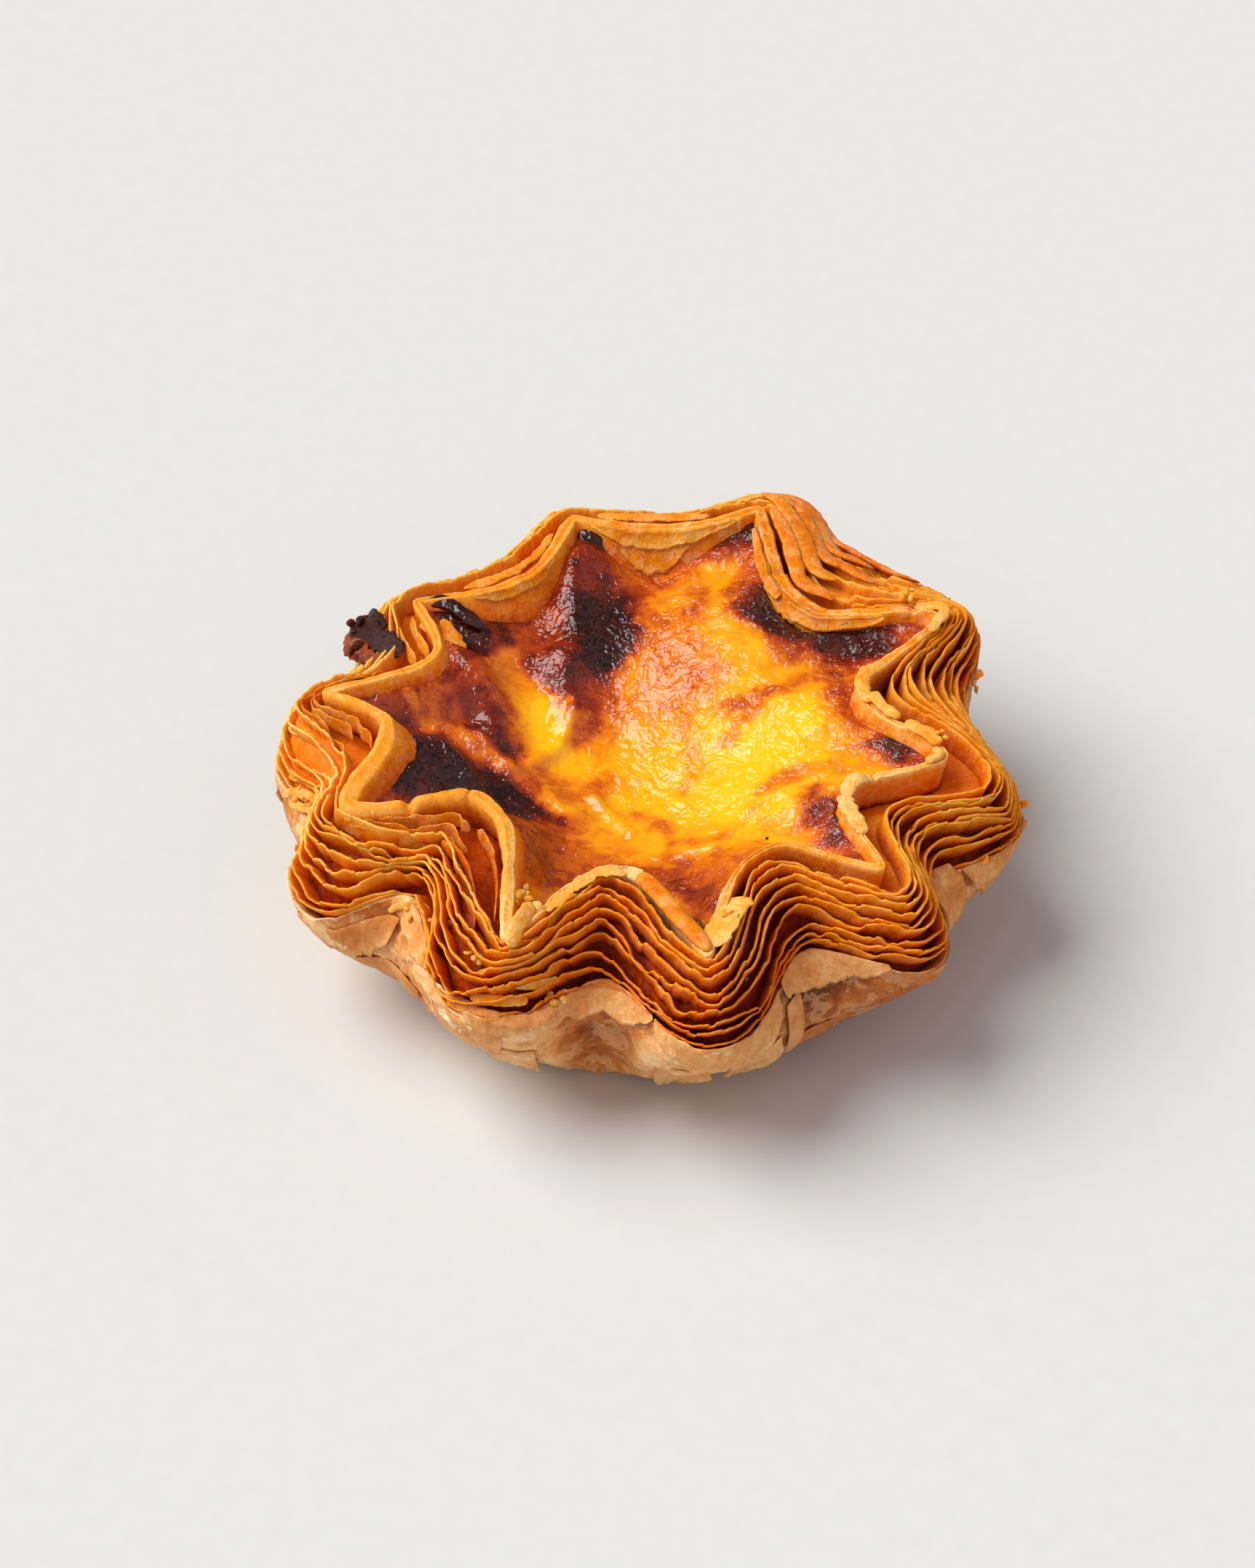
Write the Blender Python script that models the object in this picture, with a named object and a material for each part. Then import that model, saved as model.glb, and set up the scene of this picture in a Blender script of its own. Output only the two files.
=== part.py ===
"""Egg custard tart: a ruffled puff-pastry crust and the sunken custard baked into it.

The crust is one solid. Its rim is a stack of thin pastry leaves that follow two ruffles seen from
above: the lip's, which is pinched outward at ten bays and swells in over the custard at the ten
folds between them, and the outermost leaf's, which is rounder. Every leaf between is a mix of
the two. A cross-section through the axis is one closed outline in radius and height, and the
solid is the sweep of these outlines round the axis.

Sizes are in millimetres, +Z is up, and the part stands on z = 0.
"""

import math
from collections import namedtuple

import bmesh
import bpy

MM = 0.001

# Heights above the table
LIP_HEIGHT = 26.6
CAVITY_FLOOR = 3.2
CUSTARD_MIDDLE = 17.6  # lowest point of the sunken top

# Radii
BASE_RADIUS = 27.2
BASE_BEVEL = 0.9
WALL_TOP_RADIUS = 40.4  # of a plain round wall at the height of the outermost leaf
CAVITY_FLOOR_RADIUS = 20.0

# Thin things
LIP_HALF_THICKNESS = 0.85
LEAF_THICKNESS = 0.45
FIT_GAP = 0.36  # between custard and crust

# Rim
LEAVES = 10
CREST_ARC = math.radians(80)  # the leaf tops lie on this much of an ellipse, from the lip outwards
LEAF_LEAN_IN = math.radians(8)  # from upright, at the lip
LEAF_LEAN_OUT = math.radians(46)  # from upright, at the outermost leaf
GROOVE_AT_BAY = 3.0
GROOVE_AT_FOLD = 2.0

# How the surfaces bend between their ends: a share of the way is raised to this power
CAVITY_CURVE = 0.75  # under 1 bellies outwards
WALL_CURVE = 0.74
DENT_FADE = 2.4  # the higher, the sooner the rim's dents fade out below the outermost leaf
CUSTARD_DIP = 2.4  # the higher, the flatter the middle of the custard
SECTION_SPACING = 1.25  # above 1 sets the sections closer together beside the bays

STEPS_PER_FLANK = 6  # sections between a bay and the next fold
CAVITY_SHARES = (0.0, 0.3, 0.6, 0.82, 1.0)  # heights of the inner wall, as shares of the custard's
WALL_SHARES = (0.8, 0.55, 0.28, 0.07)  # heights of the outer wall, as shares of the outermost leaf's
CUSTARD_SHARES = (0.2, 0.42, 0.62, 0.78, 0.9)  # radii on the custard's top, as shares of its rim's
GAP_AT_BAY = 3.2  # times FIT_GAP, along the radius, since the wall runs slantwise beside a bay

# The lip's turns, anticlockwise from above, bays and folds by turns. For each: its direction in
# degrees from +X, its radius, how far it rises above LIP_HEIGHT, how far below it and how far in
# from it the custard meets the crust, and how it is rounded (at a bay 1 is a sharp crease and 2
# a round bend; at a fold 2 is a round swelling and more than 2 a broad flat one).
LipTurn = namedtuple("LipTurn", "deg radius rise drop inset form")
LIP = (
    LipTurn(27.5, 37.0, 0.0, 1.6, 1.0, 1.9),
    LipTurn(46, 26.7, -0.8, 2.6, 1.2, 2.6),
    LipTurn(69.0, 37.0, 0.5, 1.6, 1.0, 1.1),
    LipTurn(88, 31.6, 0.1, 4.6, 3.2, 2.8),
    LipTurn(103.0, 33.6, 0.3, 1.4, 1.0, 1.2),
    LipTurn(122, 26.6, -0.4, 3.4, 2.4, 2.6),
    LipTurn(143.0, 31.2, 0.0, 0.9, 0.9, 1.2),
    LipTurn(154, 25.2, -0.8, 3.0, 2.6, 2.4),
    LipTurn(174.0, 34.5, 0.3, 1.2, 0.9, 1.0),
    LipTurn(183, 27.4, 0.3, 2.8, 2.4, 2.4),
    LipTurn(204.0, 33.8, 0.3, 2.4, 1.4, 1.8),
    LipTurn(221, 21.6, 1.2, 4.0, 1.6, 2.7),
    LipTurn(247.0, 35.6, -0.3, 1.8, 1.0, 1.0),
    LipTurn(264, 24.1, 0.6, 4.0, 1.6, 2.7),
    LipTurn(281.0, 35.8, -0.3, 1.6, 1.0, 1.0),
    LipTurn(303, 24.3, 0.3, 3.2, 1.4, 2.7),
    LipTurn(318.0, 34.0, 0.0, 1.8, 1.2, 1.3),
    LipTurn(333, 24.8, 0.2, 2.2, 0.7, 2.5),
    LipTurn(350.0, 33.0, 0.0, 1.8, 1.2, 1.8),
    LipTurn(371, 24.4, -0.3, 2.4, 0.7, 2.5),
)

# The outermost leaf's turns, lobes and dents by turns: direction, radius, height and how round the
# lobe is
EdgeTurn = namedtuple("EdgeTurn", "deg radius height form")
EDGE = (
    EdgeTurn(31, 42.2, 21.4, 3.2),
    EdgeTurn(53, 39.4, 22.0, 2.0),
    EdgeTurn(65, 43.4, 22.0, 2.2),
    EdgeTurn(86, 37.6, 20.0, 2.0),
    EdgeTurn(104, 39.2, 19.4, 2.2),
    EdgeTurn(122, 34.9, 19.0, 2.0),
    EdgeTurn(141, 37.6, 18.4, 2.2),
    EdgeTurn(155, 35.4, 18.0, 2.0),
    EdgeTurn(177, 40.0, 17.4, 2.6),
    EdgeTurn(190, 36.3, 17.4, 2.0),
    EdgeTurn(205, 40.4, 17.4, 2.4),
    EdgeTurn(220, 33.4, 17.4, 2.0),
    EdgeTurn(245, 40.4, 17.4, 2.6),
    EdgeTurn(263, 32.2, 17.4, 2.0),
    EdgeTurn(281, 41.4, 17.4, 2.4),
    EdgeTurn(303, 32.2, 17.4, 2.0),
    EdgeTurn(318, 42.0, 17.4, 2.6),
    EdgeTurn(333, 35.2, 17.4, 2.0),
    EdgeTurn(349, 41.6, 17.4, 2.6),
    EdgeTurn(374, 37.0, 18.0, 2.0),
)

Section = namedtuple("Section", "deg bay fold flank")


def mix(a, b, share):
    return a + (b - a) * share


def swell(flank, steepness, roundness):
    """0 at a bay and 1 at a fold. It is flat at the fold, and creased at the bay if roundness is 1."""
    return (1 - (1 - flank) ** steepness) ** roundness


def sections():
    """The half-planes that the outlines lie in, closer together beside each bay of the lip."""
    found = []
    for i in range(0, len(LIP), 2):
        bay, fold = LIP[i], LIP[i + 1]
        next_bay = LIP[(i + 2) % len(LIP)]
        next_deg = next_bay.deg + 360 * (next_bay.deg < fold.deg)
        flanks = [(step / STEPS_PER_FLANK) ** SECTION_SPACING for step in range(STEPS_PER_FLANK + 1)]
        for flank in flanks[:-1]:
            found.append(Section(mix(bay.deg, fold.deg, flank), bay, fold, flank))
        for flank in reversed(flanks[1:]):
            found.append(Section(mix(next_deg, fold.deg, flank), next_bay, fold, flank))
    return found


def lip_radius(section):
    wave = swell(section.flank, section.fold.form, section.bay.form)
    return mix(section.bay.radius, section.fold.radius, wave)


def edge_point(deg):
    """(radius, height) of the outermost leaf in a direction, from the lobe and dent on each side."""
    turned = (deg - EDGE[0].deg) % 360 + EDGE[0].deg
    for i, turn in enumerate(EDGE):
        following = EDGE[(i + 1) % len(EDGE)]
        following_deg = following.deg + 360 * (following.deg < turn.deg)
        if turned <= following_deg:
            break
    flank = (turned - turn.deg) / (following_deg - turn.deg)
    if i % 2 == 0:
        wave = swell(flank, 2, turn.form)
    else:
        wave = 1 - swell(1 - flank, 2, following.form)
    return mix(turn.radius, following.radius, wave), mix(turn.height, following.height, wave)


def at_turns(section, name):
    """A value of the lip's turns, eased from the bay's to the fold's."""
    wave = swell(section.flank, 2, 2)
    return mix(getattr(section.bay, name), getattr(section.fold, name), wave)


def lip_height(section):
    return LIP_HEIGHT + at_turns(section, "rise")


def leaf_top(section, place):
    """(radius, height) of the leaf at place 0, the lip, to 1, the outermost, on the crest's ellipse."""
    turn = place * CREST_ARC
    out = math.sin(turn) / math.sin(CREST_ARC)
    down = (1 - math.cos(turn)) / (1 - math.cos(CREST_ARC))
    edge_r, edge_z = edge_point(section.deg)
    return mix(lip_radius(section), edge_r, out), mix(lip_height(section), edge_z, down)


def leaf_stack(section):
    """The rim's outline from the lip's outer side to the outermost leaf: a groove before each leaf."""
    depth = mix(GROOVE_AT_BAY, GROOVE_AT_FOLD, swell(section.flank, 2, 2))
    outline = []
    for leaf in range(1, LEAVES + 1):
        place = leaf / LEAVES
        lean = mix(LEAF_LEAN_IN, LEAF_LEAN_OUT, place)
        valley_r, valley_z = leaf_top(section, place - 0.5 / LEAVES)
        outline.append((valley_r - depth * math.sin(lean), valley_z - depth * math.cos(lean)))
        top_r, top_z = leaf_top(section, place)
        half_r = LEAF_THICKNESS / 2 * math.cos(lean)
        half_z = LEAF_THICKNESS / 2 * math.sin(lean)
        outline.append((top_r - half_r, top_z + half_z))
        outline.append((top_r + half_r, top_z - half_z))
    return outline


def inner_wall(section, gap):
    """The outline from the cavity's floor up to where the custard meets the crust, moved in by gap.

    The ruffle fades down this wall to a plain round floor.
    """
    meet_z = lip_height(section) - at_turns(section, "drop")
    meet_r = lip_radius(section) - LIP_HALF_THICKNESS - at_turns(section, "inset")
    outline = []
    for share in CAVITY_SHARES:
        radius = mix(CAVITY_FLOOR_RADIUS, meet_r, share**CAVITY_CURVE)
        outline.append((radius - gap, mix(CAVITY_FLOOR, meet_z, share)))
    return outline


def outer_wall(section, edge_r, edge_z):
    """The outline from the outermost leaf down to the base. The dents fade out just below the leaf."""
    outline = []
    for share in WALL_SHARES:
        plain = mix(BASE_RADIUS, WALL_TOP_RADIUS, share**WALL_CURVE)
        outline.append((mix(plain, edge_r, share**DENT_FADE), edge_z * share))
    return outline + [(BASE_RADIUS - BASE_BEVEL, 0.0)]


def crust_outline(section):
    """One cross-section of the crust, from the cavity's floor over the rim to the base."""
    lip_r = lip_radius(section)
    lip_z = lip_height(section)
    half = LIP_HALF_THICKNESS
    lip = [(lip_r - half, lip_z - 0.9 * half), (lip_r - 0.35 * half, lip_z), (lip_r + 0.45 * half, lip_z)]
    rim = leaf_stack(section)
    return inner_wall(section, 0.0) + lip + rim + outer_wall(section, *rim[-1])


def custard_outline(section):
    """One cross-section of the custard, from near the middle of its top to its underside."""
    wall = inner_wall(section, FIT_GAP * mix(GAP_AT_BAY, 1.0, section.flank))
    rim_r, rim_z = wall[-1]
    top = []
    for share in CUSTARD_SHARES:
        top.append((rim_r * share, mix(CUSTARD_MIDDLE, rim_z, share**CUSTARD_DIP)))
    floor_r, floor_z = wall[0]
    return top + wall[:0:-1] + [(floor_r, floor_z + FIT_GAP)]


def sweep(name, outline_of, middle_height, colour, roughness):
    """A closed solid: the outlines of all the sections joined side by side, with both ends closed.

    The first point of every outline is joined to one point on the axis at middle_height, or to
    a flat floor if that is None. The last point ends in a flat face.
    """
    shape = bmesh.new()
    columns = []
    for section in sections():
        across = (math.cos(math.radians(section.deg)), math.sin(math.radians(section.deg)))
        points = [(r * across[0], r * across[1], z) for r, z in outline_of(section)]
        columns.append([shape.verts.new((x * MM, y * MM, z * MM)) for x, y, z in points])
    for here, after in zip(columns, columns[1:] + columns[:1]):
        for low in range(len(here) - 1):
            shape.faces.new((here[low], after[low], after[low + 1], here[low + 1]))
    first_ring = [column[0] for column in columns]
    last_ring = [column[-1] for column in columns]
    if middle_height is None:
        shape.faces.new(first_ring)
    else:
        middle = shape.verts.new((0, 0, middle_height * MM))
        for here, after in zip(first_ring, first_ring[1:] + first_ring[:1]):
            shape.faces.new((here, after, middle))
    shape.faces.new(last_ring)
    bmesh.ops.recalc_face_normals(shape, faces=shape.faces)

    mesh = bpy.data.meshes.new(name)
    shape.to_mesh(mesh)
    shape.free()
    solid = bpy.data.objects.new(name, mesh)
    bpy.context.scene.collection.objects.link(solid)
    mesh.shade_smooth()
    mesh.set_sharp_from_angle(angle=math.radians(50))
    mesh.materials.append(baked_material(name, colour, roughness))
    return solid


def baked_material(name, colour, roughness):
    material = bpy.data.materials.new(name)
    material.use_nodes = True
    shader = material.node_tree.nodes["Principled BSDF"]
    shader.inputs["Base Color"].default_value = (*colour, 1)
    shader.inputs["Roughness"].default_value = roughness
    shader.inputs["Metallic"].default_value = 0
    return material


def centre_on_axis(solids):
    """Moves the solids together so that the crust's bounding box is centred on the Z axis."""
    corners = [vertex.co for vertex in solids[0].data.vertices]
    for axis in (0, 1):
        low = min(corner[axis] for corner in corners)
        high = max(corner[axis] for corner in corners)
        for solid in solids:
            solid.location[axis] -= (low + high) / 2


def main():
    for leftover in list(bpy.data.objects):
        bpy.data.objects.remove(leftover)
    crust = sweep("crust", crust_outline, None, (0.62, 0.27, 0.06), 0.55)
    custard = sweep("custard", custard_outline, CUSTARD_MIDDLE, (0.90, 0.46, 0.02), 0.2)
    centre_on_axis([crust, custard])


main()
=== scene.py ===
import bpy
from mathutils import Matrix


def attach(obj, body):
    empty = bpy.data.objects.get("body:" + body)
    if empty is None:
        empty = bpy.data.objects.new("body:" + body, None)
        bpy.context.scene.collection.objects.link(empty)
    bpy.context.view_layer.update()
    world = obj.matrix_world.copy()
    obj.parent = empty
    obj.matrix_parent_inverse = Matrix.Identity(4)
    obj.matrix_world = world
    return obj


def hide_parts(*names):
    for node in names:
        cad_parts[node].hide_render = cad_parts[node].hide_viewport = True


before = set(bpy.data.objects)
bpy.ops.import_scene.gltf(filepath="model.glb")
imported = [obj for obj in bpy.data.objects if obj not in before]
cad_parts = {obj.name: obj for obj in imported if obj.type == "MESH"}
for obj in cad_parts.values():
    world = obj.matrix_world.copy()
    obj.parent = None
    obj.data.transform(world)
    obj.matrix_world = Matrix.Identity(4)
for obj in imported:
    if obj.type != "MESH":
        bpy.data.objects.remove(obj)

"""The looks of the egg custard tart: a ruffled puff-pastry crust and its caramelised custard.

Sizes are in millimetres until a piece becomes a mesh. The rim is a stack of thin pastry leaves that
follow two ruffles seen from above, the lip's and the outermost leaf's, round one upright axis.
"""

from collections import namedtuple

import bpy
import numpy as np
from mathutils import Matrix, Vector

MM = 0.001
AXIS = np.array([-0.574, 0.354])  # the ruffles' axis, seen from above

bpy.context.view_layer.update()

# ---- The rim's two ruffles ----

LIP_HEIGHT = 26.6
LIP_HALF_THICKNESS = 0.85  # the solid crust's, where the custard meets it
BASE_RADIUS = 27.2
WALL_TOP_RADIUS = 40.4
WALL_CURVE = 0.74  # the power by which the plain wall widens with its height
DENT_FADE = 2.4  # the power by which the wall takes on the ruffle
CREST_ARC = np.radians(80)  # how far the leaf tops roll over, from the lip to the outermost leaf
CREASE_WIDTH = 0.4  # over which sharp turns are rounded off
LEAF_LEAST_FORM = 1.9  # the least roundness of the leaves' bays behind the lip
LEAF_ROUNDING = 1.0

# Columns of the two tables below
RADIUS, RISE, DROP_TO_CUSTARD, STEP_IN, FORM, POCKET_SHARE = range(1, 7)
EDGE_HEIGHT, LOBE_FORM = 2, 3

# The lip's outward bays and inward folds, one after the other: direction, radius, rise above
# LIP_HEIGHT, how far below it and how far in from it the custard meets the crust, how it is
# rounded, and the share of the crest that the open pocket behind the lip takes.
LIP = np.array((
    (27.5, 37.0, 0.0, 1.6, 1.0, 1.9, 0.10),
    (46, 26.7, -0.8, 2.6, 1.2, 2.6, 0.15),
    (69.0, 37.0, 0.5, 1.6, 1.0, 1.1, 0.12),
    (88, 31.6, 0.1, 4.6, 3.2, 2.8, 0.30),
    (103.0, 33.6, 0.3, 1.4, 1.0, 1.2, 0.30),
    (122, 26.6, -0.4, 3.4, 2.4, 2.6, 0.50),
    (143.0, 31.2, 0.0, 0.9, 0.9, 1.2, 0.38),
    (154, 25.2, -0.8, 1.3, 1.0, 2.4, 0.35),
    (174.0, 34.5, 0.3, 1.2, 0.9, 1.0, 0.46),
    (183, 27.4, 0.3, 2.8, 2.4, 2.4, 0.40),
    (204.0, 33.8, 0.3, 2.4, 1.4, 1.8, 0.16),
    (221, 21.6, 1.2, 4.0, 1.6, 2.7, 0.46),
    (247.0, 35.6, -0.3, 1.8, 1.0, 1.0, 0.12),
    (264, 24.1, 0.6, 4.0, 1.6, 2.7, 0.10),
    (281.0, 35.8, -0.3, 1.6, 1.0, 1.0, 0.10),
    (303, 24.3, 0.3, 3.2, 1.4, 2.7, 0.12),
    (318.0, 34.0, 0.0, 1.8, 1.2, 1.3, 0.30),
    (333, 24.8, 0.2, 2.2, 0.7, 2.5, 0.32),
    (350.0, 33.0, 0.0, 1.8, 1.2, 1.8, 0.45),
    (371, 24.4, -0.3, 2.4, 0.7, 2.5, 0.20),
))

# The outermost leaf's lobes and dents, one after the other: direction, radius, height, roundness
EDGE = np.array((
    (31, 42.2, 21.4, 3.2),
    (53, 39.4, 22.0, 2.0),
    (65, 43.4, 22.0, 2.2),
    (86, 37.6, 20.0, 2.0),
    (104, 39.2, 19.4, 2.2),
    (122, 34.9, 19.0, 2.0),
    (141, 37.6, 18.4, 2.2),
    (155, 35.4, 18.0, 2.0),
    (177, 40.0, 17.4, 2.6),
    (190, 36.3, 17.4, 2.0),
    (207, 40.6, 15.8, 3.6),
    (221, 32.4, 20.4, 2.0),
    (245, 40.4, 17.4, 2.6),
    (263, 32.2, 17.4, 2.0),
    (281, 41.4, 17.4, 2.4),
    (303, 32.2, 17.4, 2.0),
    (318, 42.0, 17.4, 2.6),
    (333, 35.2, 17.4, 2.0),
    (349, 41.6, 17.4, 2.6),
    (374, 37.0, 18.0, 2.0),
))


def mix(a, b, share):
    """a at share 0 and b at share 1, in a straight line."""
    return a + (b - a) * share


def smooth(low, high, value):
    """0 below low and 1 above high, with an eased slope between them."""
    share = np.clip((value - low) / (high - low), 0, 1)
    return share * share * (3 - 2 * share)


def swell(flank, steepness, roundness):
    """0 at a bay and 1 at a fold: one minus a falling power, raised to the roundness."""
    return (1 - (1 - flank) ** steepness) ** roundness


def between(deg, turns):
    """For each direction the turn before it, the turn after it and the share of the way."""
    start = turns[0, 0]
    turned = (deg - start) % 360 + start
    ends = np.append(turns[:, 0], start + 360)
    before = np.clip(np.searchsorted(ends, turned, side="right") - 1, 0, len(turns) - 1)
    share = (turned - ends[before]) / (ends[before + 1] - ends[before])
    return before, (before + 1) % len(turns), share


def lip_flank(deg):
    """(bay, fold, share of the way from the bay to the fold) for each direction."""
    before, after, share = between(deg, LIP)
    even = before % 2 == 0
    return np.where(even, before, after), np.where(even, after, before), np.where(even, share, 1 - share)


def lip_radius(deg, least_form=0.0):
    """The lip's radius; least_form rounds off the sharper bays, as the leaves behind them are."""
    bay, fold, flank = lip_flank(deg)
    form = np.maximum(LIP[bay, FORM], least_form)
    return mix(LIP[bay, RADIUS], LIP[fold, RADIUS], swell(flank, LIP[fold, FORM], form))


def at_lip(deg, column):
    """A column of the lip's turns, eased from the bay's value to the fold's."""
    bay, fold, flank = lip_flank(deg)
    return mix(LIP[bay, column], LIP[fold, column], swell(flank, 2, 2))


def edge_point(deg):
    """(radius, height) of the outermost leaf: a rounded swell from each lobe to the dents beside it."""
    before, after, share = between(deg, EDGE)
    leaving = swell(share, 2, EDGE[before, LOBE_FORM])
    arriving = 1 - swell(1 - share, 2, EDGE[after, LOBE_FORM])
    wave = np.where(before % 2 == 0, leaving, arriving)
    radius = mix(EDGE[before, RADIUS], EDGE[after, RADIUS], wave)
    return radius, mix(EDGE[before, EDGE_HEIGHT], EDGE[after, EDGE_HEIGHT], wave)


def rim_travel():
    """Directions in degrees, and how far round the rim each is, by the longer of lip and edge."""
    fine = np.linspace(0, 360, 14401)
    length = np.zeros(len(fine) - 1)
    for radius in (lip_radius(fine), edge_point(fine)[0]):
        x, y = radius * np.cos(np.radians(fine)), radius * np.sin(np.radians(fine))
        length = np.maximum(length, np.hypot(np.diff(x), np.diff(y)))
    return fine, np.concatenate([[0], np.cumsum(length)])


FINE_DEG, TRAVELLED = rim_travel()


def even_columns(count):
    """Directions in degrees, spaced evenly along the rim."""
    return np.interp(np.arange(count) / count * TRAVELLED[-1], TRAVELLED, FINE_DEG)


def round_off(values, width):
    """Values round the rim, each replaced by the bell-weighted mean of those within a few widths."""
    columns = width * len(values) / TRAVELLED[-1]
    reach = int(np.ceil(columns * 3))
    weights = np.exp(-0.5 * (np.arange(-reach, reach + 1) / columns) ** 2)
    weights /= weights.sum()
    return sum(w * np.roll(values, -s, axis=0) for w, s in zip(weights, range(-reach, reach + 1)))


COLUMNS = 2000
DEG = even_columns(COLUMNS)
ALONG = np.arange(COLUMNS) / COLUMNS * TRAVELLED[-1]
ACROSS = np.stack([np.cos(np.radians(DEG)), np.sin(np.radians(DEG)), np.zeros(COLUMNS)], 1)
UP = np.array([0.0, 0.0, 1.0])

LIP_R = round_off(lip_radius(DEG), CREASE_WIDTH)
LEAF_R = round_off(lip_radius(DEG, LEAF_LEAST_FORM), LEAF_ROUNDING)
LIP_Z = round_off(LIP_HEIGHT + at_lip(DEG, RISE), CREASE_WIDTH)
DROP = at_lip(DEG, DROP_TO_CUSTARD)
INSET = at_lip(DEG, STEP_IN)
POCKET = at_lip(DEG, POCKET_SHARE)
EDGE_R, EDGE_Z = (round_off(values, CREASE_WIDTH) for values in edge_point(DEG))


def by_direction(*pairs):
    """Values given at a few directions in degrees, spread evenly between them round the rim."""
    degs, values = zip(*pairs)
    return np.interp(DEG % 360, degs, values, period=360)


# An extra wave of the leaves, in millimetres, strongest half way between the lip and the outermost
EXTRA_WAVE = round_off(by_direction((206, 0), (212, 1.0), (219, -1.4), (226, -0.2), (234, 0.9),
                                    (243, 0), (256, 0), (262, -1.0), (268, 0)), 1.0)


def crest(place):
    """(radius, height) of the leaf tops: place 0 is the lip and 1 the outermost, on an ellipse's arc.
    Behind the lip the leaves soon turn more roundly than it does.
    """
    turn = place * CREST_ARC
    out = np.sin(turn) / np.sin(CREST_ARC)
    down = (1 - np.cos(turn)) / (1 - np.cos(CREST_ARC))
    inner = mix(LIP_R, LEAF_R, smooth(0.0, 0.12, place))
    wave = EXTRA_WAVE * np.sin(np.pi * np.clip(place, 0, 1))
    return mix(inner, EDGE_R, out) + wave, mix(LIP_Z, EDGE_Z, down)


def all_round(value):
    """The same value in every column."""
    return np.full(COLUMNS, value)


def on_rim(radius, height):
    """Points at a radius and height in every column's direction."""
    return ACROSS * radius[:, None] + UP * height[:, None]


def outward(points):
    """Level unit vectors square to a closed line of points, pointing away from its middle."""
    along = np.roll(points, -1, axis=0) - np.roll(points, 1, axis=0)
    square = np.stack([along[:, 1], -along[:, 0], np.zeros(len(points))], 1)
    return square / np.linalg.norm(square, axis=1, keepdims=True)


# ---- Noise, and the gathering of meshes ----


CELL_PRIMES = np.array([374761393, 668265263, 1440662683])  # large odd numbers that stir the bits
SEED_PRIME = 974711
STIRS = ((13, 1274126177), (15, 2246822519))  # how far the bits shift, and what they are multiplied by


def lattice(cells, seed):
    """A repeatable number from -1 to 1 for each whole-numbered cell, by multiplying and folding bits."""
    mask = 0xFFFFFFFF
    mixed = ((cells * CELL_PRIMES).sum(-1) + seed * SEED_PRIME) & mask
    for shift, factor in STIRS:
        mixed = ((mixed ^ (mixed >> shift)) * factor) & mask
    return (mixed ^ (mixed >> 16)) / (mask / 2) - 1


def noise(points, size, seed):
    """Smooth noise from -1 to 1: cell values eased between the eight corners round each point. Each
    seed gives a pattern of its own.
    """
    scaled = np.asarray(points) / size
    cell = np.floor(scaled).astype(np.int64)
    inside = scaled - cell
    ease = inside * inside * (3 - 2 * inside)
    total = 0
    for corner in np.ndindex(2, 2, 2):
        weight = np.prod(np.where(corner, ease, 1 - ease), axis=-1)
        total = total + weight * lattice(cell + np.array(corner), seed)
    return total


def rough(points, size, seed, layers=3):
    """Noise with finer and weaker layers on top, each half as large and half as strong."""
    return sum(noise(points, size / 2**i, seed + i) / 2**i for i in range(layers)) / 1.6


def grid_faces(rows, columns, ring, loop):
    """Four-sided faces of a grid; ring joins the last row to the first, loop the last column."""
    u = np.arange(rows if ring else rows - 1)
    v = np.arange(columns if loop else columns - 1)
    u, v = (axis.ravel() for axis in np.meshgrid(u, v, indexing="ij"))
    u_next, v_next = (u + 1) % rows, (v + 1) % columns
    corners = [u * columns + v, u_next * columns + v, u_next * columns + v_next, u * columns + v_next]
    return np.stack(corners, 1)


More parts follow.
